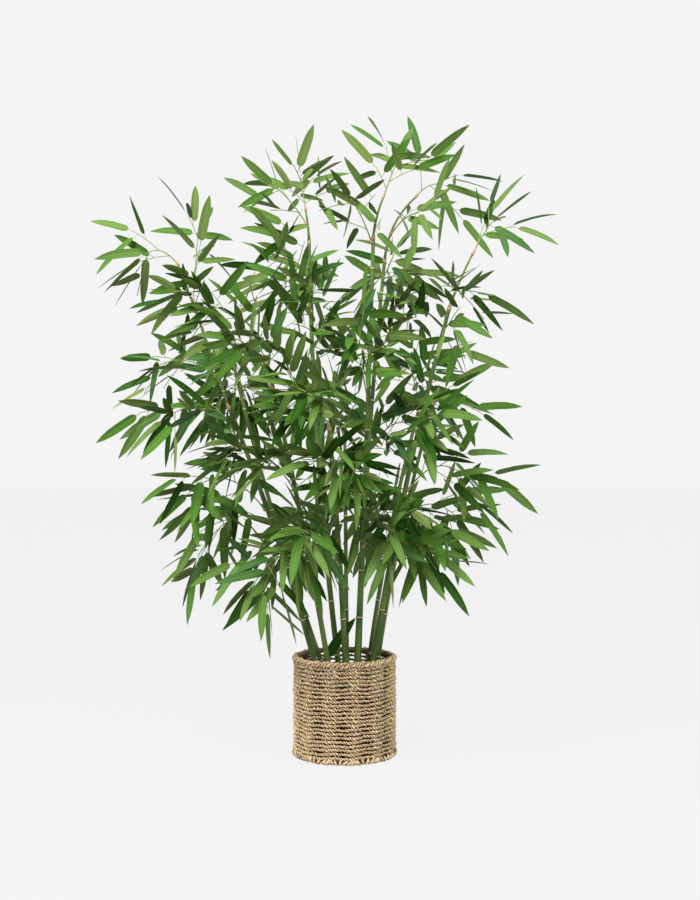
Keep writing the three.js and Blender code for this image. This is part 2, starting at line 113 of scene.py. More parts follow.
class SeededDraws:
    """Seeded random numbers from 0 up to 1, the same on every run."""

    STEP = 0x6D2B79F5
    MASK = 0xFFFFFFFF

    def __init__(self, seed: int) -> None:
        """Start the row of numbers.

        Args:
            seed: The whole number that fixes the row.
        """
        self.state = seed & self.MASK

    def share(self) -> float:
        """The next number from 0 up to 1."""
        self.state = (self.state + self.STEP) & self.MASK
        mixed = (self.state ^ self.state >> 15) * (self.state | 1) & self.MASK
        mixed ^= mixed + ((mixed ^ mixed >> 7) * (mixed | 61) & self.MASK) & self.MASK
        return (mixed ^ mixed >> 14) / 2**32

    def either(self, spread: float) -> float:
        """A number within spread either side of zero."""
        return spread * (2 * self.share() - 1)

    def within(self, limits: Limits) -> float:
        """A number within a range."""
        return lerp(*limits, self.share())


class Wander:
    """A smooth wandering value made of a few seeded sine waves."""

    def __init__(self, seed: int, rates: Sequence[float]) -> None:
        """Choose the waves.

        Args:
            seed: The whole number that fixes their phases.
            rates: How fast each wave turns, in radians a unit of way.
        """
        draws = SeededDraws(seed)
        self.rates = rates
        self.phases = [draws.share() * TURN for _ in rates]

    def at(self, way: np.ndarray) -> np.ndarray:
        """The value, from about -1 to 1, at each place on the way."""
        waves = [np.sin(rate * way + phase) for rate, phase in zip(self.rates, self.phases)]
        return sum(waves) / math.sqrt(len(waves))


@dataclass
class Shape:
    """A mesh as arrays, before it becomes an object.

    Attributes:
        points: One row for each vertex.
        corners: The vertex numbers of all faces, one face after another.
        sizes: How many corners each face has.
        slots: The material slot number of each face.
        uvs: One row for each corner.
        marks: A value for each vertex, such as how deep in a groove it lies.
    """

    points: np.ndarray
    corners: np.ndarray
    sizes: np.ndarray
    slots: np.ndarray
    uvs: np.ndarray
    marks: np.ndarray

    @classmethod
    def read(cls, thing: bpy.types.Object) -> "Shape":
        """The arrays of an object's mesh.

        Args:
            thing: A mesh object that is in object mode.

        Returns:
            Its shape, with every slot number and UV zero.
        """
        mesh = thing.data
        points = np.empty(len(mesh.vertices) * 3)
        mesh.vertices.foreach_get("co", points)
        corners = np.empty(len(mesh.loops), int)
        mesh.loops.foreach_get("vertex_index", corners)
        sizes = np.empty(len(mesh.polygons), int)
        mesh.polygons.foreach_get("loop_total", sizes)
        slots = np.zeros(len(sizes), int)
        uvs = np.zeros((len(corners), 2))
        return cls(points.reshape(-1, 3), corners, sizes, slots, uvs, np.zeros(len(mesh.vertices)))

    @classmethod
    def join(cls, shapes: Iterable["Shape"]) -> "Shape":
        """Several shapes as one.

        Args:
            shapes: The shapes, at least one.

        Returns:
            One shape that holds them all.
        """
        shapes = list(shapes)
        starts = np.cumsum([0] + [len(shape.points) for shape in shapes])
        parts = {part.name: [getattr(shape, part.name) for shape in shapes] for part in fields(cls)}
        parts["corners"] = [corners + start for corners, start in zip(parts["corners"], starts)]
        return cls(**{name: np.concatenate(rows) for name, rows in parts.items()})

    def copies(self, places: np.ndarray, slots: np.ndarray | None = None) -> "Shape":
        """This shape repeated, each copy with points of its own.

        Args:
            places: The points of each copy, as (copy, point, 3).
            slots: The slot numbers of each copy's faces, as (copy, face), where they differ.

        Returns:
            One shape that holds all the copies.
        """
        count = len(places)
        steps = np.arange(count)[:, None] * len(self.points)
        dealt = np.tile(self.slots, count) if slots is None else slots.reshape(-1)
        return Shape(
            places.reshape(-1, 3),
            (self.corners[None, :] + steps).reshape(-1),
            np.tile(self.sizes, count),
            dealt,
            np.tile(self.uvs, (count, 1)),
            np.tile(self.marks, count),
        )

    def face_middles(self) -> np.ndarray:
        """The middle of each face, as rows."""
        face_of = np.repeat(np.arange(len(self.sizes)), self.sizes)
        corners = self.points[self.corners]
        return np.stack([np.bincount(face_of, corners[:, i]) / self.sizes for i in range(3)], axis=1)

    def as_object(
        self, name: str, materials: Sequence[Material], sharp_marks: bool = False
    ) -> bpy.types.Object:
        """A smooth-shaded mesh object at the origin.

        Args:
            name: The piece's name.
            materials: What the slot numbers stand for.
            sharp_marks: Whether edges between marked vertices are sharp.

        Returns:
            The new object, linked to the scene.
        """
        mesh = bpy.data.meshes.new(name)
        mesh.vertices.add(len(self.points))
        mesh.vertices.foreach_set("co", self.points.reshape(-1))
        mesh.loops.add(len(self.corners))
        mesh.loops.foreach_set("vertex_index", self.corners)
        mesh.polygons.add(len(self.sizes))
        mesh.polygons.foreach_set("loop_start", np.cumsum(self.sizes) - self.sizes)
        mesh.polygons.foreach_set("use_smooth", np.ones(len(self.sizes), bool))
        for material in materials:
            mesh.materials.append(material)
        mesh.polygons.foreach_set("material_index", self.slots)
        mesh.update(calc_edges=True)
        mesh.uv_layers.new(name=UV_NAME).uv.foreach_set("vector", self.uvs.reshape(-1))
        mesh.attributes.new(MARK_NAME, "FLOAT", "POINT").data.foreach_set("value", self.marks)
        if sharp_marks:
            ends = np.empty(len(mesh.edges) * 2, int)
            mesh.edges.foreach_get("vertices", ends)
            sharp = (self.marks[ends.reshape(-1, 2)] > 0).all(axis=1)
            mesh.attributes.new("sharp_edge", "BOOLEAN", "EDGE").data.foreach_set("value", sharp)
        mesh.validate()
        thing = bpy.data.objects.new(name, mesh)
        bpy.context.scene.collection.objects.link(thing)
        return thing


def deselect_all() -> None:
    """Leave nothing selected, so that an operator acts on the new piece alone."""
    if bpy.context.object and bpy.context.object.mode != "OBJECT":
        bpy.ops.object.mode_set(mode="OBJECT")
    bpy.ops.object.select_all(action="DESELECT")


def spun(name: str, profile: Sequence[Limits], sides: int) -> Shape:
    """A round piece spun about Z from a profile that starts and ends on the axis.

    Args:
        name: A name for the piece while it is worked on.
        profile: Points of radius and height, up the outside.
        sides: How many steps there are round the piece.

    Returns:
        The closed shape, facing outwards.
    """
    deselect_all()
    mesh = bpy.data.meshes.new(name)
    points = [(radius, 0, height) for radius, height in profile]
    mesh.from_pydata(points, [(i, i + 1) for i in range(len(points) - 1)], [])
    thing = bpy.data.objects.new(name, mesh)
    bpy.context.scene.collection.objects.link(thing)
    bpy.context.view_layer.objects.active = thing
    thing.select_set(True)
    bpy.ops.object.mode_set(mode="EDIT")
    bpy.ops.mesh.select_all(action="SELECT")
    bpy.ops.mesh.spin(steps=sides, angle=TURN, center=(0, 0, 0), axis=(0, 0, 1))
    bpy.ops.mesh.select_all(action="SELECT")
    bpy.ops.mesh.remove_doubles(threshold=MERGE_WITHIN)
    bpy.ops.mesh.normals_make_consistent(inside=False)
    bpy.ops.object.mode_set(mode="OBJECT")
    shape = Shape.read(thing)
    bpy.data.objects.remove(thing)
    return shape


def wrap_uvs(shape: Shape, strips: int, height: float) -> None:
    """Lay an upright round shape out flat in its UVs, as strips side by side, before it is bent.

    Args:
        shape: The shape round Z, from height zero up.
        strips: How many strips the height is cut into.
        height: The whole height.
    """
    corners = shape.points[shape.corners]
    middles = np.repeat(shape.face_middles(), shape.sizes, axis=0)
    middle_turn = np.arctan2(middles[:, 1], middles[:, 0])
    on_axis = np.hypot(corners[:, 0], corners[:, 1]) < MERGE_WITHIN
    turn = np.where(on_axis, middle_turn, np.arctan2(corners[:, 1], corners[:, 0]))
    turn += TURN * np.round((middle_turn - turn) / TURN)
    strip = np.clip(np.floor(middles[:, 2] / height * strips), 0, strips - 1)
    across = UV_MARGIN + (1 - 2 * UV_MARGIN) * (turn / TURN + 0.5)
    along = UV_MARGIN + (1 - 2 * UV_MARGIN) * (corners[:, 2] / height * strips - strip)
    shape.uvs = np.stack([(strip + across) / strips, along], axis=1)


def in_row(uvs: np.ndarray, row: int | np.ndarray, rows: int) -> np.ndarray:
    """UVs moved into one of several rows that share the map, with a margin above and below it."""
    across = UV_ROW_MARGIN + (1 - 2 * UV_ROW_MARGIN) * uvs[:, 1]
    return np.stack([uvs[:, 0], (row + across) / rows], axis=1)


def swept(middle: np.ndarray, side: np.ndarray, other: np.ndarray, section: np.ndarray) -> Shape:
    """A rope or tube whose section is carried along a way and closed at both ends.

    Args:
        middle: Points of the way.
        side: The section's first direction at each point.
        other: The section's second direction at each point; side, other and the way are right-handed.
        section: Section points at each step, as (step, point, 2), anticlockwise.

    Returns:
        The closed shape. Its UVs run along the way in u and round the section in v.
    """
    steps, sides = section.shape[:2]
    points = middle[:, None] + side[:, None] * section[..., :1] + other[:, None] * section[..., 1:]
    spans = steps - 1
    start = np.arange(spans)[:, None] * sides
    here = np.arange(sides)[None, :]
    beside = (here + 1) % sides
    quads = np.stack([start + here, start + beside, start + sides + beside, start + sides + here], axis=-1)
    uvs = np.empty((spans, sides, 4, 2))
    uvs[..., 0] = (np.arange(spans)[:, None, None] + np.array([0, 0, 1, 1])) / spans
    uvs[..., 1] = (here[..., None] + np.array([0, 1, 1, 0])) / sides
    ring = np.arange(sides)
    caps = np.concatenate([ring[::-1], ring + spans * sides])
    ends = np.stack([np.repeat([0.0, 1.0], sides), np.tile(ring / sides, 2)], axis=1)
    return Shape(
        points.reshape(-1, 3),
        np.concatenate([quads.reshape(-1), caps]),
        np.concatenate([np.full(spans * sides, 4), [sides, sides]]),
        np.zeros(spans * sides + 2, int),
        np.concatenate([uvs.reshape(-1, 2), ends]),
        np.zeros(steps * sides),
    )


def lobed(lobes: int, points: int, strand: float) -> tuple[np.ndarray, np.ndarray, np.ndarray]:
    """The section of a rope laid of round strands, reaching to one.

    Args:
        lobes: How many strands there are.
        points: How many points the section has.
        strand: The radius of a strand.

    Returns:
        The angle and the radius of each point, and how deep in a groove it lies.
    """
    angle = np.arange(points) / points * TURN
    nearest = (angle * lobes / TURN + 0.5) % 1 - 0.5
    off = nearest * TURN / lobes
    middle = 1 - strand
    radius = middle * np.cos(off) + np.sqrt(np.maximum(strand**2 - (middle * np.sin(off)) ** 2, 0))
    return angle, radius, np.abs(nearest * 2)


@dataclass(frozen=True)
class Route:
    """A way from start to end whose middle is drawn aside by a bow."""

    start: Vector3
    control: Vector3
    end: Vector3

    TANGENT_STEP = 1e-4
    LENGTH_POINTS = 65
    STEEP = 0.7

    @classmethod
    def bowed(cls, start: Vector3, end: Vector3, bow: Vector3) -> "Route":
        """The way whose middle lies off the straight line by bow."""
        return cls(start, (start + end) / 2 + 2 * bow, end)

    def point(self, share: float | np.ndarray) -> np.ndarray:
        """The point, or rows of points, at a share of the way."""
        share = np.asarray(share, float)[..., None]
        return (1 - share) ** 2 * self.start + 2 * (1 - share) * share * self.control + share**2 * self.end

    def tangent(self, share: float | np.ndarray) -> np.ndarray:
        """The direction of the way at a share of it."""
        share = np.asarray(share, float)
        early = np.maximum(share - self.TANGENT_STEP, 0)
        late = np.minimum(share + self.TANGENT_STEP, 1)
        return unit(self.point(late) - self.point(early))

    def frame(self, share: float | np.ndarray) -> tuple[np.ndarray, np.ndarray, np.ndarray]:
        """The tangent and two directions square to it, right-handed and without twist."""
        tangent = self.tangent(share)
        chord = unit(self.end - self.start)
        reference = NORTH if abs(chord[2]) > self.STEEP else UP
        side = unit(np.cross(reference, tangent))
        return tangent, side, np.cross(tangent, side)

    def length(self) -> float:
        """The length of the way."""
        points = self.point(np.linspace(0, 1, self.LENGTH_POINTS))
        return float(np.linalg.norm(np.diff(points, axis=0), axis=1).sum())


@dataclass(frozen=True)
class Limb:
    """A cane, bough, stem or twig on its way.

    Attributes:
        name: Its plain name.
        route: The way that it follows.
        radii: Its radius at its foot and at its tip.
        sides: Flat sides of its solid.
        steps: Straight lengths of its solid.
        face: Which way the flat of its leaves and twigs faces.
    """

    name: str
    route: Route
    radii: Limits
    sides: int = 3
    steps: int = 4
    face: Vector3 | None = None

    def middle_at(self, share: float) -> Vector3:
        """A point on the middle line of the solid's straight lengths."""
        step = min(int(share * self.steps), self.steps - 1)
        low = self.route.point(step / self.steps)
        high = self.route.point((step + 1) / self.steps)
        return lerp(low, high, share * self.steps - step)

    def reach_at(self, share: float, direction: Vector3) -> float:
        """How far the solid's corners reach from its middle line towards a direction."""
        _, side, other = self.route.frame(share)
        angle = np.arange(self.sides) / self.sides * TURN
        reaches = np.sin(angle) * side.dot(direction) - np.cos(angle) * other.dot(direction)
        return lerp(*self.radii, share) * reaches.max()


@dataclass
class Skeleton:
    """The canes, the boughs that go on from them and the stems of the sprays, as the solids have them."""

    gap: float = 0.3 * MM
    base_top: float = 162 * MM
    bough_radii: Limits = (3.2 * MM, 2.2 * MM)
    stem_radii: Limits = (2.2 * MM, 1.5 * MM)
    limbs: dict[str, Limb] = field(default_factory=dict)
    stems: dict[str, Limb] = field(default_factory=dict)

    def cane(self, name: str, foot: Limits, tip: Triple, bow: Triple, radii: Limits) -> None:
        """Stand a cane on the ballast, sizes in millimetres.

        Args:
            name: The cane's name.
            foot: Where it stands, x and y.
            tip: Its tip.
            bow: How far its middle lies off the straight line.
            radii: Its radius at foot and tip.
        """
        start = np.array([*millimetres(*foot), self.base_top + self.gap])
        route = Route.bowed(start, millimetres(*tip), millimetres(*bow))
        self.limbs[name] = Limb(name, route, tuple(millimetres(*radii)), sides=8, steps=5)

    def bough(self, name: str, cane: str, tip: Triple, bow: Triple) -> None:
        """Carry a thin bough on from the tip of its cane, sizes in millimetres.

        Args:
            name: The bough's name.
            cane: The cane below it.
            tip: Its tip.
            bow: How far its middle lies off the straight line.
        """
        ends = (millimetres(*tip), millimetres(*bow))
        self.limbs[name] = self.from_tip(name, cane, *ends, self.bough_radii, sides=6, steps=3)

    def from_tip(
        self,
        name: str,
        below: str,
        tip: Vector3,
        bow: Vector3,
        radii: Limits,
        sides: int = 3,
        steps: int = 4,
    ) -> Limb:
        """A limb that goes on from the tip of the limb below it.

        Args:
            name: The new limb's name.
            below: The limb that it goes on from.
            tip: Its tip.
            bow: How far its middle lies off the straight line.
            radii: Its radius at foot and tip.
            sides: Flat sides of its solid.
            steps: Straight lengths of its solid.

        Returns:
            The new limb.
        """
        carrier = self.limbs[below].route
        start = carrier.point(1) + carrier.tangent(1) * self.gap
        return Limb(name, Route.bowed(start, tip, bow), radii, sides, steps)

    def stem(self, name: str, limb: str, at: float, tip: Triple, arch: float) -> None:
        """Grow the stem of a spray from a limb's tip or side, sizes in millimetres.

        Args:
            name: The spray's name.
            limb: The limb that carries it.
            at: The share along the limb, 1 being its tip.
            tip: The stem's tip.
            arch: How far the stem's middle is raised.
        """
        end = millimetres(*tip)
        bow = UP * arch * MM
        if at == 1:
            self.stems[name] = self.from_tip(name, limb, end, bow, self.stem_radii)
            return
        carrier = self.limbs[limb]
        point = carrier.middle_at(at)
        first = Route.bowed(point, end, bow).tangent(0)
        along = carrier.route.tangent(at)
        seat = unit(first - along * first.dot(along))
        start = point + first * (carrier.reach_at(at, seat) + self.gap) / first.dot(seat)
        self.stems[name] = Limb(name, Route.bowed(start, end, bow), self.stem_radii)


# Canes: where each stands, x and y, its tip, how far its middle bows out, and its radius at foot and tip
CANES = {
    "cane_far_left": ((-54, -15), (-260, -60, 796), (11, 0, 0), (6.6, 4.6)),
    "cane_far_left_back": ((-38, 20), (-263, 80, 906), (-12, 0, 0), (6, 3.8)),
    "cane_left": ((-28, -45), (-171, -120, 894), (7, 0, 0), (6.4, 4.2)),
    "cane_tall_left": ((-10, 45), (-83, 50, 1186), (-14, 0, 0), (6.8, 4.2)),
    "cane_front": ((4, -60), (-33, -140, 748), (4, 0, 0), (6.6, 4.8)),
    "cane_short_back": ((6, -5), (0, 170, 720), (0, -14, 0), (5.4, 3.8)),
    "cane_tall_centre": ((25, -35), (66, 0, 1186), (3, -8, 0), (6.6, 4.2)),
    "cane_tall_right": ((32, 30), (95, 90, 1149), (-10, 0, 0), (6.2, 4)),
    "cane_right_back": ((52, 55), (179, 150, 796), (-12, 0, 0), (5.6, 4)),
    "cane_far_right": ((57, -20), (238, -40, 1021), (-13, 0, 0), (6.8, 4.4)),
    "cane_right_side": ((70, 20), (217, 60, 833), (-14, 0, 0), (5.4, 3.6)),
}

# Boughs: the cane below each, its tip, and how far its middle bows out
BOUGHS = {
    "bough_far_left": ("cane_far_left", (-365, -110, 1102), (2, 0, 0)),
    "bough_top_left": ("cane_tall_left", (-90, 46, 1250), (1, 0, 0)),
    "bough_top_centre": ("cane_tall_centre", (88, -8, 1270), (-3, 0, 0)),
    "bough_top_right": ("cane_tall_right", (167, 100, 1292), (-13, 0, 8)),
    "bough_far_right": ("cane_far_right", (286, -60, 1132), (-2, 0, 0)),
}

# Stems of the sprays: the limb that carries each, the share along it, the tip, and how far the middle rises
STEMS = {
    # Flat sprays, whose twigs stand left and right of the stem
    "spray_top_left": ("bough_top_left", 1, (-102, 42, 1326), 0),
    "spray_top_left_side": ("bough_top_left", 0.45, (-160, 4, 1298), 8),
    "spray_upper_left": ("cane_tall_left", 0.84, (-146, -56, 1168), 12),
    "spray_top_centre_left": ("cane_tall_centre", 0.975, (14, -64, 1256), 10),
    "spray_top_peak": ("bough_top_centre", 1, (118, -14, 1350), 0),
    "spray_top_right": ("bough_top_right", 1, (230, 114, 1326), 12),
    "spray_top_right_inner": ("bough_top_right", 0.3, (166, -60, 1226), 12),
    "spray_right_top": ("bough_far_right", 1, (328, -72, 1202), 4),
    "spray_right_upper": ("bough_far_right", 0.2, (262, -90, 1030), 12),
    "spray_arch_tip": ("bough_far_left", 1, (-438, -126, 1120), 20),
    "spray_arch_top": ("bough_far_left", 0.72, (-330, -30, 1190), 14),
    "spray_arch_under": ("bough_far_left", 0.5, (-346, -150, 1044), 16),
    "spray_arch_inner": ("cane_left", 1, (-292, -180, 1004), 26),
    "spray_left_upper": ("bough_far_left", 0.18, (-416, -60, 884), 24),
    "spray_left_middle": ("cane_far_left", 0.92, (-388, -150, 762), 34),
    "spray_left_lower": ("cane_far_left", 0.6, (-346, -70, 600), 50),
    "spray_left_low_back": ("cane_far_left_back", 0.46, (-344, 70, 446), 60),
    "spray_bottom_left": ("cane_left", 0.36, (-200, -130, 396), 46),
    "spray_right_middle_upper": ("cane_far_right", 0.88, (240, -116, 966), 22),
    "spray_right_middle": ("cane_right_side", 0.94, (224, 24, 812), 12),
    "spray_right_lower": ("cane_far_right", 0.5, (270, -90, 634), 40),
    "spray_right_low_back": ("cane_right_back", 0.52, (262, 110, 540), 44),
    "spray_bottom_right": ("cane_far_right", 0.26, (176, -108, 480), 40),
    # Round sprays, whose twigs stand all round the stem
    "spray_front_low_left": ("cane_front", 0.46, (-116, -220, 520), 34),
    "spray_front_low_right": ("cane_tall_centre", 0.3, (96, -200, 520), 34),
    "spray_front_low_centre": ("cane_front", 0.82, (-16, -250, 646), 24),
    "spray_front_middle_left": ("cane_left", 0.6, (-240, -180, 700), 30),
    "spray_front_middle": ("cane_front", 1, (-110, -250, 830), 14),
    "spray_front_middle_right": ("cane_tall_centre", 0.5, (160, -180, 740), 40),
    "spray_front_centre": ("cane_tall_centre", 0.66, (30, -220, 920), 26),
    "spray_front_upper_left": ("cane_left", 0.9, (-230, -220, 930), 22),
    "spray_front_upper": ("cane_tall_left", 0.68, (-70, -120, 1060), 22),
    "spray_front_upper_right": ("cane_tall_right", 0.76, (176, -70, 1000), 26),
    "spray_back_low_left": ("cane_tall_left", 0.26, (-130, 220, 500), 50),
    "spray_back_low_right": ("cane_tall_right", 0.3, (110, 240, 530), 50),
    "spray_back_middle_left": ("cane_far_left_back", 0.88, (-260, 220, 840), 30),
    "spray_back_middle": ("cane_short_back", 1, (-60, 270, 820), 20),
    "spray_back_middle_right": ("cane_right_back", 1, (160, 260, 900), 14),
    "spray_back_upper_left": ("cane_tall_left", 0.84, (-150, 200, 1090), 22),
    "spray_back_upper_right": ("cane_tall_right", 0.92, (110, 240, 1130), 22),
}


def plant_skeleton() -> Skeleton:
    """The plant's limbs and stems at their places, in millimetres as the solids have them."""
    plant = Skeleton()
    for place, rows in ((plant.cane, CANES), (plant.bough, BOUGHS), (plant.stem, STEMS)):
        for name, sizes in rows.items():
            place(name, *sizes)
    return plant


@dataclass(frozen=True)
class LeafPlace:
    """Where a leaf stands on its twig: the share along it, the side and the range it opens by, in degrees."""

    at: float
    side: int
    opening: Limits


SIDE_OPENING = (40, 76)
END_OPENING = (-14, 14)


@dataclass(frozen=True)
class GrowthRule:
    """How a spray branches. Lengths are in metres, angles in degrees, and a pair is a range."""

    seed: int = 20
    first_twig_at: float = 0.24
    last_twig_at: float = 0.86
    twig_length: Limits = (60 * MM, 103 * MM)
    twig_opening: Limits = (34, 62)
    twig_roll_spread: float = 40
    twig_sag: float = 0.16
    twig_arch: float = 0.04
    twig_radii: Limits = (1.5 * MM, 1.2 * MM)
    twig_tested_at: tuple[float, ...] = (0.4, 0.7, 1)
    round_opening: Limits = (42, 78)
    round_turn: float = 137.5
    fan_turn_spread: float = 50
    leaf_turn_spread: float = 28
    leaf_roll_spread: float = 55
    leaf_depth: float = 0.8
    leaf_length: float = 122 * MM
    leaf_length_spread: float = 0.1
    leaf_width_share: float = 0.23
    leaf_widest_at: float = 0.34
    leaf_narrows_at: float = 0.65
    leaf_root_sunk: float = 0.6 * MM
    leaf_sag: Limits = (0.08, 0.32)
    light: Triple = (0, -0.8, 0.6)
    nearly_along: float = 0.2
    leaf_apart: float = 40 * MM
    closer: float = 0.93
    tries: int = 24
    freer: float = 0.2
    shorter: float = 0.985
    lowest_leaf: float = 240 * MM
    space_margin: float = 1.6 * MM
    leaf_clearance: float = 5.5 * MM
    twig_clearance: float = 2 * MM
    twig_leaves: tuple[LeafPlace, ...] = (
        LeafPlace(0.5, 1, SIDE_OPENING),
        LeafPlace(0.8, -1, SIDE_OPENING),
        LeafPlace(0.98, 1, END_OPENING),
    )
    stem_leaves: tuple[LeafPlace, ...] = (LeafPlace(0.9, 1, SIDE_OPENING), LeafPlace(0.99, 1, END_OPENING))


@dataclass
class Leaf:
    """One leaf: its root, its own directions and its length, with the tone it is dealt."""

    root: Vector3
    direction: Vector3
    across: Vector3
    face: Vector3
    length: float
    tone: int = 0

    @classmethod
    def laid(cls, root: Vector3, direction: Vector3, face: Vector3, length: float) -> "Leaf":
        """A leaf along a direction, its upper side turned as nearly as it can be to face."""
        across = unit(np.cross(direction, face))
        return cls(root, direction, across, unit(np.cross(across, direction)), length)

    def marks(self) -> np.ndarray:
        """Its middle and its tip."""
        return self.root + self.direction * self.length * np.array([[0.5], [1]])

    def outline(self, rule: GrowthRule) -> np.ndarray:
        """Points on its outline that are tested for space."""
        half = self.across * self.length * rule.leaf_width_share / 2
        ahead = self.direction * self.length
        points = [self.root + ahead, self.root + ahead * rule.leaf_narrows_at]
        for side in (-1, 1):
            points.append(self.root + ahead * rule.leaf_widest_at + half * side)
            points.append(self.root + ahead * rule.leaf_narrows_at + half * side / 2)
            points.append(self.root + ahead * rule.leaf_widest_at / 2 + half * side / 2)
        return np.array(points)


class Space:
    """Each spray's own space: nearer to its own stem than to any other, and clear of every limb."""

    STEPS = 8

    def __init__(self, plant: Skeleton, rule: GrowthRule) -> None:
        """Lay every stem and limb out as short straight lengths.

        Args:
            plant: The limbs and stems.
            rule: The margins to keep.
        """
        self.rule = rule
        self.names = list(plant.stems)
        carriers = [*plant.stems.values(), *plant.limbs.values()]
        rows = [carrier.route.point(np.linspace(0, 1, self.STEPS + 1)) for carrier in carriers]
        self.starts = np.concatenate([row[:-1] for row in rows])
        self.ways = np.concatenate([np.diff(row, axis=0) for row in rows])
        self.squares = (self.ways**2).sum(axis=1)
        self.limb_radii = np.array([max(limb.radii) for limb in plant.limbs.values()])
        self.lowest = np.array([-math.inf, -math.inf, rule.lowest_leaf])
        self.highest = np.full(3, math.inf)

    def keep_to(self, leaves: Iterable[Leaf]) -> None:
        """Take the reach of the solids' leaves as the limit of all that grows later."""
        outlines = np.concatenate([leaf.outline(self.rule) for leaf in leaves])
        self.lowest, self.highest = outlines.min(axis=0), outlines.max(axis=0)

    def distances(self, points: np.ndarray) -> np.ndarray:
        """The distance from each point to each stem and limb, as (point, carrier)."""
        apart = points[:, None] - self.starts
        share = np.clip((apart * self.ways).sum(axis=2) / self.squares, 0, 1)
        apart -= share[..., None] * self.ways
        least = np.sqrt((apart**2).sum(axis=2))
        return least.reshape(len(points), -1, self.STEPS).min(axis=2)

    def fits(self, points: np.ndarray, own: str, clearance: float) -> bool:
        """Whether points lie in a spray's own space.

        Args:
            points: The points to test.
            own: The spray's name.
            clearance: What they keep clear of limbs.

        Returns:
            True where all of them do.
        """
        if (points < self.lowest).any() or (points > self.highest).any():
            return False
        least = self.distances(points)
        mine = self.names.index(own)
        limit = least[:, mine] + self.rule.space_margin
        others = np.delete(least[:, : len(self.names)], mine, axis=1)
        if (others < limit[:, None]).any():
            return False
        return bool((least[:, len(self.names) :] > self.limb_radii + clearance).all())


def lit_face(axis: Vector3, rule: GrowthRule) -> Vector3:
    """The face of a flat along an axis, turned as nearly as it can be to the light."""
    across = np.cross(axis, unit(np.array(rule.light)))
    if np.linalg.norm(across) < rule.nearly_along:
        across = np.cross(axis, NORTH)
    return unit(np.cross(across, axis))


def opened_in(axis: Vector3, face: Vector3, opening: float) -> Vector3:
    """A direction opened sideways from an axis, within the flat whose upper side is face."""
    return axis * math.cos(opening) + unit(np.cross(axis, face)) * math.sin(opening)


class Crowd:
    """The middles and tips of leaves that stand already, which later leaves keep away from."""

    def __init__(self) -> None:
        """Start with no leaves."""
        self.marks = np.empty((0, 3))

    def add(self, leaves: Iterable[Leaf]) -> None:
        """Take in more leaves."""
        self.marks = np.concatenate([self.marks, *(leaf.marks() for leaf in leaves)])

    def room_at(self, points: np.ndarray) -> float:
        """How far points are from the nearest mark."""
        if not len(self.marks):
            return math.inf
        apart = self.marks[None] - points[:, None]
        return float(np.sqrt((apart**2).sum(axis=2).min()))


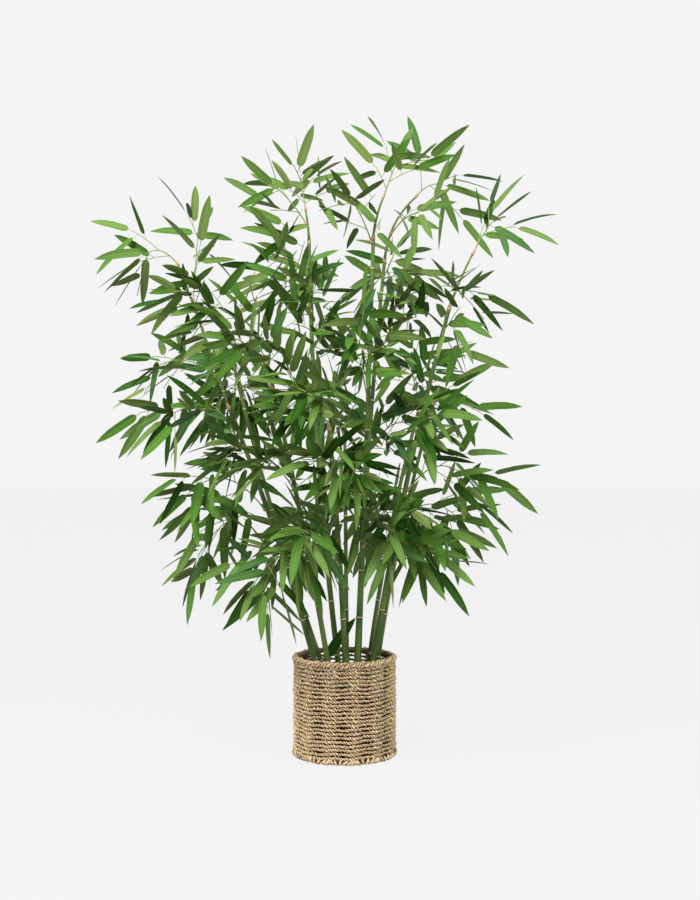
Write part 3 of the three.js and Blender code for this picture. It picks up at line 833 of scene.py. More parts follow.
@dataclass
class Spray:
    """One mass of foliage: a stem with its twigs and leaves, in a space of its own."""

    stem: Limb
    twig_count: int
    space: Space
    rule: GrowthRule
    draws: SeededDraws
    twigs: list[Limb] = field(default_factory=list)
    leaves: list[Leaf] = field(default_factory=list)
    own: Crowd = field(default_factory=Crowd)

    @property
    def name(self) -> str:
        """The spray's plain name."""
        return self.stem.name

    @property
    def round(self) -> bool:
        """Whether its twigs stand all round the stem."""
        return self.name.startswith(("spray_front", "spray_back"))

    def grow(self) -> None:
        """Grow the twigs and leaves that the solids have, by the same draws."""
        chord = self.stem.route.tangent(0.5)
        fan_turn = math.radians(self.draws.either(self.rule.fan_turn_spread))
        face = turned_about(lit_face(chord, self.rule), chord, fan_turn)
        self.stem = Limb(self.name, self.stem.route, self.stem.radii, face=face)
        for i in range(self.twig_count):
            at = lerp(self.rule.first_twig_at, self.rule.last_twig_at, i / (self.twig_count - 1))
            turn, side, opening = 0, 1 if i % 2 else -1, self.rule.twig_opening
            if self.round:
                turn, side, opening = self.rule.round_turn * i, 1, self.rule.round_opening
            twig = self.grow_twig(at, turn, side, opening, self.rule.twig_length)
            if twig is None:
                continue
            self.twigs.append(twig)
            self.grow_leaves(twig, self.rule.twig_leaves)
        self.grow_leaves(self.stem, self.rule.stem_leaves)

    def grow_twig(
        self, at: float, turn: float, side: int, opening: Limits, lengths: Limits
    ) -> Limb | None:
        """Try to grow one twig from the stem.

        Args:
            at: The share along the stem.
            turn: How far it is turned about the stem, in degrees.
            side: Which side it opens to.
            opening: The range it opens by, in degrees.
            lengths: The range of its length.

        Returns:
            The twig, or nothing where it finds no room.
        """
        rule = self.rule
        axis = self.stem.route.tangent(at)
        start = self.stem.route.point(at)
        for attempt in range(rule.tries):
            roll = turn + self.draws.either(rule.twig_roll_spread * (1 + rule.freer * attempt))
            face = turned_about(self.stem.face, axis, math.radians(roll))
            direction = opened_in(axis, face, side * math.radians(self.draws.within(opening)))
            length = self.draws.within(lengths) * rule.shorter**attempt
            end = start + direction * length - UP * rule.twig_sag * length
            route = Route.bowed(start, end, UP * rule.twig_arch * length)
            fan_turn = math.radians(self.draws.either(rule.fan_turn_spread))
            fan = turned_about(lit_face(direction, rule), direction, fan_turn)
            if self.space.fits(route.point(rule.twig_tested_at), self.name, rule.twig_clearance):
                return Limb(self.name, route, rule.twig_radii, steps=1, face=fan)
        return None

    def grow_leaves(self, shoot: Limb, places: Iterable[LeafPlace]) -> None:
        """Grow a leaf at each place that has room.

        Args:
            shoot: The stem or twig that carries them.
            places: Where they stand on it.
        """
        for place in places:
            leaf = self.grow_leaf(shoot, place)
            if leaf is not None:
                self.leaves.append(leaf)
                self.own.add([leaf])

    def grow_leaf(self, shoot: Limb, place: LeafPlace) -> Leaf | None:
        """Try to grow one leaf.

        Args:
            shoot: The stem or twig that carries it.
            place: Where it stands on it.

        Returns:
            The leaf, or nothing where it finds no room.
        """
        rule = self.rule
        axis = shoot.route.tangent(place.at)
        root = shoot.route.point(place.at) - axis * rule.leaf_root_sunk
        for attempt in range(rule.tries):
            turn = self.draws.either(rule.leaf_turn_spread * (1 + rule.freer * attempt))
            face = turned_about(shoot.face, axis, math.radians(turn))
            opened = place.side * math.radians(self.draws.within(place.opening))
            length = rule.leaf_length * (1 + self.draws.either(rule.leaf_length_spread))
            length *= rule.shorter**attempt
            direction = opened_in(axis, face, opened) * (1, rule.leaf_depth, 1)
            direction = unit(direction - UP * self.draws.within(rule.leaf_sag))
            roll = math.radians(self.draws.either(rule.leaf_roll_spread))
            leaf = Leaf.laid(root, direction, turned_about(face, direction, roll), length)
            if self.own.room_at(leaf.marks()) < rule.leaf_apart * rule.closer**attempt:
                continue
            if self.space.fits(leaf.outline(rule), self.name, rule.leaf_clearance):
                return leaf
        return None


@dataclass
class FinerSpray(Spray):
    """A spray carried on past its solid to finer twigs and the rest of its leaves, in the same space."""

    crowd: Crowd = field(default_factory=Crowd)

    FINER_SEED = 500
    CHOICES = 4
    WIDE_OPENING = (36, 84)
    TIP_OPENING = (-16, 16)
    MORE_STEM_LEAVES = (LeafPlace(0.94, -1, SIDE_OPENING),)
    MORE_TWIG_LEAVES = (LeafPlace(0.3, -1, WIDE_OPENING), LeafPlace(0.66, 1, WIDE_OPENING))
    FINE_TWIG_LEAVES = (
        LeafPlace(0.4, 1, WIDE_OPENING),
        LeafPlace(0.62, -1, WIDE_OPENING),
        LeafPlace(0.84, 1, WIDE_OPENING),
        LeafPlace(0.98, 1, TIP_OPENING),
    )
    FINE_TWIG_LENGTH = (55 * MM, 105 * MM)
    FINE_TWIGS_AT = (0.05, 0.96)
    ROOM_AT = (0.6, 1.3)

    def carry_on(self, more_leaves: int, fine_twigs: int) -> None:
        """Grow the finer twigs and leaves.

        Args:
            more_leaves: How many more leaves each twig of the solid gets.
            fine_twigs: How many finer twigs are tried.
        """
        self.draws = SeededDraws(self.FINER_SEED + self.draws.state)
        self.fill(self.stem, self.MORE_STEM_LEAVES)
        for twig in list(self.twigs):
            self.fill(twig, self.MORE_TWIG_LEAVES[:more_leaves])
        for i in range(fine_twigs):
            at = lerp(*self.FINE_TWIGS_AT, (i + 0.5 * self.draws.share()) / fine_twigs)
            turn = self.rule.round_turn * i if self.round else 0
            side = -1 if i % 2 else 1
            tries = [
                self.grow_twig(at, turn, side, self.rule.round_opening, self.FINE_TWIG_LENGTH)
                for _ in range(self.CHOICES)
            ]
            twigs = [twig for twig in tries if twig is not None]
            if twigs:
                twig = max(twigs, key=lambda one: self.crowd.room_at(one.route.point(self.ROOM_AT)))
                self.twigs.append(twig)
                self.fill(twig, self.FINE_TWIG_LEAVES)

    def fill(self, shoot: Limb, places: Iterable[LeafPlace]) -> None:
        """Grow a leaf at each place that has room, the freest of a few.

        Args:
            shoot: The twig that carries them.
            places: Where they stand on it.
        """
        for place in places:
            tries = [self.grow_leaf(shoot, place) for _ in range(self.CHOICES)]
            leaves = [leaf for leaf in tries if leaf is not None]
            if leaves:
                leaf = max(leaves, key=lambda one: self.crowd.room_at(one.marks()))
                self.leaves.append(leaf)
                self.own.add([leaf])
                self.crowd.add([leaf])


class Recipe:
    """A material as it is mixed: its shader and the nodes that feed it."""

    def __init__(self, name: str, colour: Colour, roughness: float) -> None:
        """Start a material.

        Args:
            name: Its name.
            colour: Its base colour, as linear light.
            roughness: Its roughness.
        """
        self.material = bpy.data.materials.new(name)
        self.material.use_nodes = True
        self.tree = self.material.node_tree
        self.shader = self.tree.nodes["Principled BSDF"]
        self.set(self.shader, **{"Base Color": (*colour, 1), "Roughness": roughness})

    def set(self, node: bpy.types.Node, **sockets: object) -> bpy.types.Node:
        """Set a node's sockets by name, and return the node."""
        for name, value in sockets.items():
            node.inputs[name].default_value = value
        return node

    def add(self, kind: str, sockets: dict[str, object] | None = None, **settings: object) -> bpy.types.Node:
        """Add a node.

        Args:
            kind: The node's kind, without its ShaderNode prefix.
            sockets: Values for its sockets.
            **settings: Values for its own settings.

        Returns:
            The new node.
        """
        node = self.tree.nodes.new("ShaderNode" + kind)
        for name, value in settings.items():
            setattr(node, name, value)
        return self.set(node, **(sockets or {}))

    def link(self, source: Socket, target: Socket) -> None:
        """Feed one socket from another."""
        self.tree.links.new(source, target)

    def paint(self, colour: Socket) -> None:
        """Feed the base colour."""
        self.link(colour, self.shader.inputs["Base Color"])

    def stretched(self, source: Socket, scale: Sequence[float]) -> Socket:
        """Coordinates stretched by a scale."""
        mapping = self.add("Mapping", {"Scale": scale})
        self.link(source, mapping.inputs["Vector"])
        return mapping.outputs["Vector"]

    def on_surface(self, scale: Sequence[float]) -> Socket:
        """The piece's own UVs, stretched."""
        return self.stretched(self.add("UVMap", uv_map=UV_NAME).outputs["UV"], scale)

    def in_space(self, scale: Sequence[float]) -> Socket:
        """Object coordinates, stretched."""
        return self.stretched(self.add("TexCoord").outputs["Object"], scale)

    def marked(self) -> Socket:
        """The piece's own mark, from 0 to 1."""
        return self.add("Attribute", attribute_name=MARK_NAME).outputs["Fac"]

    def noise(self, place: Socket, detail: float = 3) -> Socket:
        """A noise from about 0 to 1 at coordinates."""
        node = self.add("TexNoise", {"Scale": 1.0, "Detail": detail})
        self.link(place, node.inputs["Vector"])
        return node.outputs["Fac"]

    def ramp(
        self, source: Socket, stops: Sequence[tuple[float, Colour]]
    ) -> Socket:
        """A colour chosen by a value.

        Args:
            source: The value.
            stops: Pairs of value and colour, in order.

        Returns:
            The colour's socket.
        """
        node = self.add("ValToRGB")
        self.link(source, node.inputs["Fac"])
        elements = node.color_ramp.elements
        while len(elements) < len(stops):
            elements.new(1.0)
        for element, (position, colour) in zip(elements, stops):
            element.position = position
            element.color = (*colour, 1)
        return node.outputs["Color"]

    def mixed(
        self, share: Socket, first: Socket, second: Colour
    ) -> Socket:
        """The first colour, giving way to the second by a share."""
        node = self.add("Mix", data_type="RGBA")
        self.link(share, node.inputs["Factor"])
        self.link(first, node.inputs["A"])
        node.inputs["B"].default_value = (*second, 1)
        return node.outputs["Result"]

    def bump(self, height: Socket, strength: float, distance: float) -> None:
        """Raise the surface by a height.

        Args:
            height: The height, from 0 to 1.
            strength: How strongly it shows.
            distance: How high 1 stands, in metres.
        """
        node = self.add("Bump", {"Strength": strength, "Distance": distance})
        self.link(height, node.inputs["Height"])
        self.link(node.outputs["Normal"], self.shader.inputs["Normal"])


@dataclass(frozen=True)
class RopeFinish:
    """Twisted seagrass: dry fibres that run along the strands, tan with a few dark and greenish ones, with
    painted shade in the grooves between strands and on the side facing into the basket.
    """

    name: str = "seagrass rope"
    dark: Colour = (0.23, 0.15, 0.07)
    middle: Colour = (0.54, 0.39, 0.21)
    light: Colour = (0.78, 0.62, 0.38)
    pale: Colour = (0.68, 0.67, 0.49)
    # The colour of the painted shade.
    shade: Colour = (0.06, 0.038, 0.014)
    along: float = 30
    around: float = 520
    clump_scale: Triple = (230, 230, 330)
    patch_scale: Triple = (120, 120, 260)
    fibre_height: float = 0.8 * MM

    def mix(self) -> Material:
        """Make the material."""
        recipe = Recipe(self.name, self.middle, 0.85)
        clumps = recipe.noise(recipe.in_space(self.clump_scale), detail=2)
        tone = recipe.ramp(clumps, [(0.34, self.dark), (0.5, self.middle), (0.66, self.light)])
        fibres = recipe.noise(recipe.on_surface((self.along, self.around, 1)), detail=4)
        threads = recipe.ramp(fibres, [(0.4, grey(0.75)), (0.56, grey(0))])
        body = recipe.mixed(threads, tone, self.dark)
        patches = recipe.noise(recipe.in_space(self.patch_scale))
        flecks = recipe.ramp(patches, [(0.62, grey(0)), (0.72, grey(0.6))])
        body = recipe.mixed(flecks, body, self.pale)
        # Painted shade: the colour gives way to the shade colour by the mark, in the grooves between strands,
        # on the sides of the foot loops and on the side facing into the basket.
        grooves = recipe.ramp(recipe.marked(), [(0.3, grey(0)), (0.95, grey(0.92))])
        recipe.paint(recipe.mixed(grooves, body, self.shade))
        recipe.bump(fibres, 0.8, self.fibre_height)
        return recipe.material


@dataclass(frozen=True)
class DarkFinish:
    """Dark moulded plastic, or rough cast ballast with a coarser grain."""

    name: str
    colour: Colour
    light: Colour
    roughness: float
    grain: float
    height: float

    def mix(self) -> Material:
        """Make the material."""
        recipe = Recipe(self.name, self.colour, self.roughness)
        grain = recipe.noise(recipe.in_space((self.grain,) * 3), detail=5)
        recipe.paint(recipe.ramp(grain, [(0.35, self.colour), (0.7, self.light)]))
        recipe.bump(grain, 0.7, self.height)
        return recipe.material


@dataclass(frozen=True)
class CaneFinish:
    """A satin green cane, with olive and brown streaks along it."""

    name: str
    green: Colour
    deep: Colour
    streak: Colour
    cloud_scale: Triple = (30, 30, 9)
    streak_scale: Triple = (60, 3, 1)
    streak_height: float = 0.3 * MM

    def mix(self) -> Material:
        """Make the material."""
        recipe = Recipe(self.name, self.green, 0.5)
        recipe.set(recipe.shader, **{"Specular IOR Level": 0.15})
        clouds = recipe.noise(recipe.in_space(self.cloud_scale))
        body = recipe.ramp(clouds, [(0.35, self.deep), (0.62, self.green)])
        streaks = recipe.noise(recipe.on_surface(self.streak_scale), detail=4)
        share = recipe.ramp(streaks, [(0.52, grey(0)), (0.72, grey(0.8))])
        recipe.paint(recipe.mixed(share, body, self.streak))
        recipe.bump(streaks, 0.35, self.streak_height)
        return recipe.material


@dataclass(frozen=True)
class PaperyFinish:
    """A dry papery skin, as on node rings and sheaths."""

    name: str
    colour: Colour
    dark: Colour
    grain_scale: Triple = (900, 900, 160)
    grain_height: float = 0.2 * MM

    def mix(self) -> Material:
        """Make the material."""
        recipe = Recipe(self.name, self.colour, 0.7)
        grain = recipe.noise(recipe.in_space(self.grain_scale), detail=3)
        recipe.paint(recipe.ramp(grain, [(0.35, self.dark), (0.6, self.colour)]))
        recipe.bump(grain, 0.4, self.grain_height)
        return recipe.material


@dataclass(frozen=True)
class LeafFinish:
    """One plain tone of printed fabric, with fine veins along the leaf as relief."""

    name: str
    colour: Colour
    roughness: float = 0.5
    vein_scale: Triple = (2, 26, 1)
    vein_height: float = 0.3 * MM

    def mix(self) -> Material:
        """Make the material."""
        recipe = Recipe(self.name, self.colour, self.roughness)
        recipe.set(recipe.shader, **{"Specular IOR Level": 0.05})
        veins = recipe.noise(recipe.on_surface(self.vein_scale), detail=2)
        recipe.bump(veins, 0.16, self.vein_height)
        return recipe.material


class Tone(Enum):
    """The tones that leaves are dealt in: upper side, underside, and the rib on each."""

    SUNLIT = ((0.077, 0.124, 0.029), (0.106, 0.153, 0.042), (0.115, 0.168, 0.048), (0.05, 0.082, 0.018))
    FRESH = ((0.065, 0.127, 0.024), (0.1, 0.158, 0.038), (0.102, 0.17, 0.042), (0.046, 0.083, 0.014))
    COOL = ((0.038, 0.096, 0.023), (0.066, 0.124, 0.03), (0.072, 0.138, 0.038), (0.034, 0.068, 0.016))
    MEADOW = ((0.042, 0.108, 0.013), (0.078, 0.142, 0.024), (0.074, 0.148, 0.028), (0.034, 0.072, 0.011))
    DEEP = ((0.014, 0.05, 0.004), (0.04, 0.084, 0.01), (0.034, 0.08, 0.014), (0.018, 0.044, 0.004))

    def finishes(self) -> list[Material]:
        """The four materials of this tone."""
        sides = ("upper", "underside", "upper rib", "under rib")
        label = self.name.lower()
        return [LeafFinish(f"leaf {label} {side}", colour).mix() for side, colour in zip(sides, self.value)]


class Mix(Enum):
    """How many leaves in twenty of each tone a spray gets, in the order of the tones. The mix for high sprays
    deals more sunlit tones as painted light, and the mix for back sprays more deep tones as painted shade.
    """

    TOP = (8, 8, 1, 2, 1)
    TOP_RIGHT = (4, 6, 5, 3, 2)
    MIDDLE = (2, 7, 2, 6, 3)
    BACK = (0, 4, 2, 7, 7)


def dress(thing: bpy.types.Object, nodes: Iterable[str] = ()) -> bpy.types.Object:
    """Let a finished piece ride on the plant and stand for its nodes.

    Args:
        thing: The piece.
        nodes: The solids that it replaces.

    Returns:
        The same piece.
    """
    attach(thing, "root")
    nodes = list(nodes)
    if nodes:
        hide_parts(*nodes)
    faces = sum(len(polygon.vertices) - 2 for polygon in thing.data.polygons)
    log.info("%s: %d triangles, replaces %d solids", thing.name, faces, len(nodes))
    return thing


@dataclass
class Basket:
    """The woven rope basket: a spiral rope round upright stakes, a laid rim and a braided foot."""

    ROPE_SEED = 31
    STAKE_SEED = 40
    RIM_SEED = 61
    FOOT_SEED = 19

    height: float = 229 * MM
    radius: float = 112.5 * MM
    stakes: int = 13
    stake_turn: float = math.radians(-106.1)
    stake_radius: float = 2.1 * MM
    stake_ring: float = 109.5 * MM
    stake_lay: float = 11 * MM
    stake_points: int = 8
    weave_depth: float = 1.5 * MM
    depth_uneven: float = 0.3
    rope_reach: Limits = (4.3 * MM, 3.3 * MM)
    rope_merge: float = 1.3 * MM
    rope_strand: float = 0.56
    rope_lay: float = 14 * MM
    # How strongly the side facing into the basket is marked for painted shade.
    inner_shade: float = 0.85
    rope_points: int = 12
    lay_steps: int = 8
    twist_slip: float = 0.7
    strand_uneven: float = 0.24
    roughness: float = 0.09
    slip_rates: tuple[float, ...] = (67, 171, 293, 431)
    row_pitch: float = 8.9 * MM
    row_wander: float = 0.7 * MM
    row_rates: tuple[float, ...] = (2.3, 5.1, 9.7, 15.3, 29.1)
    rows_wander: float = 1.1 * MM
    rows_rates: tuple[float, ...] = (3.02, 4.98, 8.03, 11.96)
    row_uneven: float = 0.4 * MM
    uneven_rates: tuple[float, ...] = (3.1, 7.7, 13.9, 31, 53)
    wall_low: float = 12.5 * MM
    rows: int = 22
    rim_radius: float = 7.3 * MM
    rim_strands: int = 3
    rim_strand: float = 0.5
    rim_lay: float = 20.4 * MM
    rim_points: int = 18
    rim_lay_steps: int = 16
    rim_drop: float = 0.6 * MM
    rim_wander: float = 0.5 * MM
    rim_uneven: float = 0.05
    rim_inner_share: float = 0.4
    foot_height: float = 13 * MM
    foot_out: float = 0.8 * MM
    foot_bulge: float = 0.6 * MM
    foot_rope: float = 2.9 * MM
    foot_points: int = 8
    foot_steps: int = 14
    foot_lift: Limits = (0.9 * MM, 2.8 * MM)
    foot_wrap_pitch: float = 7.2 * MM
    foot_gather: float = 0.34
    foot_uneven: float = 0.12
    foot_groove: float = 1.3
    floor_rows: int = 13
    floor_row: tuple[Limits, ...] = ((0.15, 2.4 * MM), (0.5, 0.8 * MM), (0.85, 2.4 * MM))
    floor_middle: float = 1.5 * MM
    floor_top: float = 10 * MM
    floor_sides: int = 72
    floor_map: float = 2.2

    def around(self, turn: np.ndarray, radius: np.ndarray, height: np.ndarray) -> np.ndarray:
        """Points round the basket's middle line."""
        return np.stack([radius * np.cos(turn), radius * np.sin(turn), height * np.ones_like(turn)], axis=1)

    def laid_rope(
        self, points: np.ndarray, lobes: int, sides: int, reach: tuple, lay: float, strand: float, seed: int
    ) -> Shape:
        """A rope of twisted strands along points.

        Args:
            points: The rope's middle line.
            lobes: How many strands it is laid of.
            sides: How many points its section has.
            reach: How far it reaches sideways and upwards, each one value or one a point.
            lay: The length of one full twist, negative for a left-hand one.
            strand: The radius of a strand over that of the rope.
            seed: The whole number that fixes how uneven it is.

        Returns:
            The closed rope, its grooves marked.
        """
        tangent = unit(np.gradient(points, axis=0))
        steep = abs(tangent[len(tangent) // 2, 2]) > Route.STEEP
        reference = np.array([1.0, 0.0, 0.0]) if steep else UP
        side = unit(np.cross(tangent, reference))
        other = unit(np.cross(tangent, side))
        way = np.concatenate([[0], np.cumsum(np.linalg.norm(np.diff(points, axis=0), axis=1))])
        angle, radius, groove = lobed(lobes, sides, strand)
        slips = self.twist_slip * Wander(seed, self.slip_rates).at(way)
        twist = angle[None, :] + (way / lay * TURN + slips)[:, None]
        thicker = self.strand_uneven * Wander(seed + 1, self.slip_rates).at(way)
        frayed = np.random.default_rng(seed).uniform(-1, 1, (len(points), sides))
        radius = radius * (1 + thicker[:, None] * np.cos(angle) + self.roughness * frayed)
        wide, high = (np.reshape(value, (-1, 1)) for value in reach)
        section = np.stack([radius * np.cos(twist) * wide, radius * np.sin(twist) * high], axis=-1)
        rope = swept(points, side, other, section)
        rope.marks = np.tile(groove, len(points))
        return rope

    def darken_inside(self, rope: Shape, radius: float) -> None:
        """Mark the side of a rope that faces into the basket, within a radius, for painted shade."""
        inside = np.hypot(rope.points[:, 0], rope.points[:, 1]) < radius
        rope.marks = np.maximum(rope.marks, self.inner_shade * inside)

    def wall_rope(self, first: float, last: float) -> Shape:
        """A stretch of the spiral rope of the wall.

        Args:
            first: The turn that it starts at.
            last: The turn that it ends at.

        Returns:
            The rope, its turns laid out one above another in its UVs.
        """
        steps_a_turn = round(TURN * self.radius / self.rope_lay * self.lay_steps)
        turns = np.arange(round((last - first) * steps_a_turn) + 1) / steps_a_turn + first
        angle = turns * TURN + self.stake_turn
        merge = np.cos(self.stakes * turns * TURN)
        wobble = self.row_wander * Wander(3, self.row_rates).at(turns * TURN)
        wobble += self.rows_wander * Wander(4, self.rows_rates).at(turns * TURN)
        depth = self.weave_depth * (1 + self.depth_uneven * Wander(5, (1.7, 4.3)).at(turns * TURN))
        radius = self.radius + depth * merge
        height = self.wall_low + self.rope_reach[1] + self.row_pitch * turns + wobble
        points = self.around(angle, radius, height)
        uneven = self.row_uneven * Wander(7, self.uneven_rates).at(turns * TURN)
        reach = (self.rope_reach[0], self.rope_reach[1] + self.rope_merge * (merge + 1) / 2 + uneven)
        rope = self.laid_rope(
            points, 2, self.rope_points, reach, self.rope_lay, self.rope_strand, self.ROPE_SEED
        )
        self.darken_inside(rope, self.radius - self.weave_depth)
        rows = math.ceil(last - first)
        row = np.floor(rope.uvs[:, 0] * (len(turns) - 1) / steps_a_turn - 1e-9).clip(0, rows - 1)
        rope.uvs[:, 0] = rope.uvs[:, 0] * (last - first) - row
        rope.uvs = in_row(rope.uvs, row, rows)
        return rope

    def stake_ropes(self) -> Shape:
        """The upright stakes that the wall is woven round."""
        low = self.foot_height / 2
        high = self.height - self.rim_radius
        steps = round((high - low) / self.stake_lay * self.lay_steps)
        height = np.linspace(low, high, steps + 1)
        reach = (self.stake_radius, self.stake_radius)
        ropes = []
        for i in range(self.stakes):
            turn = self.stake_turn + TURN * i / self.stakes
            points = self.around(np.full_like(height, turn), np.full_like(height, self.stake_ring), height)
            seed = self.STAKE_SEED + i
            rope = self.laid_rope(
                points, 2, self.stake_points, reach, self.stake_lay, self.rope_strand, seed
            )
            rope.uvs = in_row(rope.uvs, i, self.stakes)
            ropes.append(rope)
        return Shape.join(ropes)

    def rim_rope(self) -> Shape:
        """The thick laid rim, whose two ends meet at the front."""
        twists = round(TURN * self.radius / self.rim_lay)
        lay = -TURN * self.radius / twists
        turn = np.linspace(0, TURN, twists * self.rim_lay_steps + 1) - math.pi / 2
        wobble = self.rim_wander * Wander(11, (2, 3, 5)).at(turn)
        points = self.around(turn, self.radius, self.height - self.rim_radius - self.rim_drop + wobble)
        uneven = self.rim_radius * (1 + self.rim_uneven * Wander(13, (7, 17, 29)).at(turn))
        reach = (uneven, uneven)
        rope = self.laid_rope(
            points, self.rim_strands, self.rim_points, reach, lay, self.rim_strand, self.RIM_SEED
        )
        self.darken_inside(rope, self.radius - self.rim_inner_share * self.rim_radius)
        return rope

    def foot_braid(self) -> Shape:
        """The foot: rope wrapped round a core in upright loops, gathered at the stakes."""
        wraps = round(TURN * self.radius / self.foot_wrap_pitch)
        steps = wraps * self.foot_steps
        share = np.linspace(0, 1, steps + 1)
        roll = share * wraps * TURN
        half = self.foot_height / 2 - self.foot_rope
        turn = share * TURN - math.pi / 2
        gather = np.sin(self.stakes * (turn - self.stake_turn)) * (1 + np.sin(roll)) / 2
        turn = turn - gather * self.foot_gather * TURN / self.stakes / 2
        lift = lerp(*self.foot_lift, (1 + Wander(17, (9, 31, 53, 71)).at(turn)) / 2)
        middle = self.radius + self.foot_out
        radius = middle + (half + self.foot_bulge) * np.cos(roll)
        height = self.foot_height / 2 + lift + half * np.sin(roll)
        points = self.around(turn, radius, height)
        tangent = unit(np.gradient(points, axis=0))
        core = self.around(turn, np.full_like(turn, middle), self.foot_height / 2)
        side = unit(points - core - tangent * ((points - core) * tangent).sum(axis=1, keepdims=True))
        angle = np.arange(self.foot_points) / self.foot_points * TURN
        ring = np.stack([np.cos(angle), np.sin(angle)], axis=1) * self.foot_rope
        frayed = np.random.default_rng(self.FOOT_SEED).uniform(-1, 1, (steps + 1, len(angle), 1))
        thick = 1 + self.foot_uneven * Wander(18, (13, 37, 67)).at(turn)[:, None, None]
        section = ring[None] * (thick + self.roughness * frayed)
        loops = swept(points, side, np.cross(tangent, side), section)
        # Painted shade: the sides of the foot loops and their inner side against the core are marked dark.
        loops.marks = np.tile(np.clip(self.foot_groove - np.cos(angle), 0, 1), steps + 1)
        return loops

    def floor(self) -> Shape:
        """The coiled floor."""
        row = (self.radius - 2 * MM) / self.floor_rows
        low = [(0.0, self.floor_middle)]
        for i in range(self.floor_rows):
            low += [((i + at) * row, height) for at, height in self.floor_row]
        high = [(radius, self.floor_top - height) for radius, height in reversed(low)]
        shape = spun("basket floor", low + high, self.floor_sides)
        shape.uvs = 0.5 + shape.points[shape.corners][:, :2] / (self.floor_map * self.radius)
        return shape

    def build(self) -> None:
        """Make and dress the basket's pieces."""
        rope = RopeFinish().mix()
        back = (math.pi / 2 - self.stake_turn) / TURN - 1
        half = self.rows // 2
        for name, shape, node in (
            ("basket_weave_lower", self.wall_rope(back, half), "basket_wall"),
            ("basket_weave_upper", self.wall_rope(half, self.rows + 1 + back), "basket_wall"),
            ("basket_stakes", self.stake_ropes(), "basket_wall"),
            ("basket_floor", self.floor(), "basket_wall"),
            ("basket_rim_rope", self.rim_rope(), "basket_rim"),
            ("basket_foot_loops", self.foot_braid(), "basket_foot_braid"),
        ):
            dress(shape.as_object(name, [rope]), [node])


@dataclass
class Filling:
    """The dark inner pot with its lip, filled with rough cast ballast that the canes stand in."""

    top: float = 162 * MM
    foot: float = 10.3 * MM
    radius_top: float = 101 * MM
    radius_foot: float = 84 * MM
    wall: float = 2.5 * MM
    lip: float = 4 * MM
    sides: int = 72
    bed_below: float = 1.2 * MM
    bed_rings: int = 22
    bed_sides: int = 96
    grain: float = 1.1 * MM
    plastic: DarkFinish = DarkFinish(
        "dark pot plastic", (0.02, 0.018, 0.014), (0.035, 0.03, 0.024), 0.5, 90, 0.2 * MM
    )
    rubble: DarkFinish = DarkFinish(
        "cast ballast", (0.018, 0.014, 0.01), (0.06, 0.045, 0.03), 0.95, 420, 1.2 * MM
    )

    def build(self) -> None:
        """Make and dress the pot and its ballast."""
        inner = self.radius_top - self.lip - self.wall
        profile = [
            (0, self.foot),
            (self.radius_foot - 3 * MM, self.foot),
            (self.radius_foot, self.foot + 3 * MM),
            (self.radius_top - self.lip, self.top - 10 * MM),
            (self.radius_top - 0.5 * MM, self.top - 9 * MM),
            (self.radius_top, self.top - 1.5 * MM),
            (self.radius_top - 1 * MM, self.top),
            (inner + 0.8 * MM, self.top),
            (inner, self.top - 1 * MM),
            (inner, self.top - 5 * MM),
            (0, self.top - 5 * MM),
        ]
        pot = spun("pot", profile, self.sides)
        rim = inner + 0.4 * MM
        level = self.top - self.bed_below
        bed = [(0, self.top - 8 * MM), (rim, self.top - 8 * MM), (rim, self.top - 3 * MM)]
        bed += [(rim * i / self.bed_rings, level) for i in range(self.bed_rings - 1, 0, -1)]
        bed.append((0, level))
        ballast = spun("ballast", bed, self.bed_sides)
        upper = ballast.points[:, 2] > self.top - 2 * MM
        waves = Wander(21, (140, 230, 410, 620))
        rough = waves.at(ballast.points[:, 0]) * Wander(22, (170, 290, 520)).at(ballast.points[:, 1])
        ballast.points[upper, 2] += (self.grain * rough + self.bed_below)[upper]
        for shape in (pot, ballast):
            wrap_uvs(shape, 1, self.top)
        dress(pot.as_object("inner_pot", [self.plastic.mix()]), ["weighted_base"])
        dress(ballast.as_object("cast_ballast", [self.rubble.mix()]), ["weighted_base"])


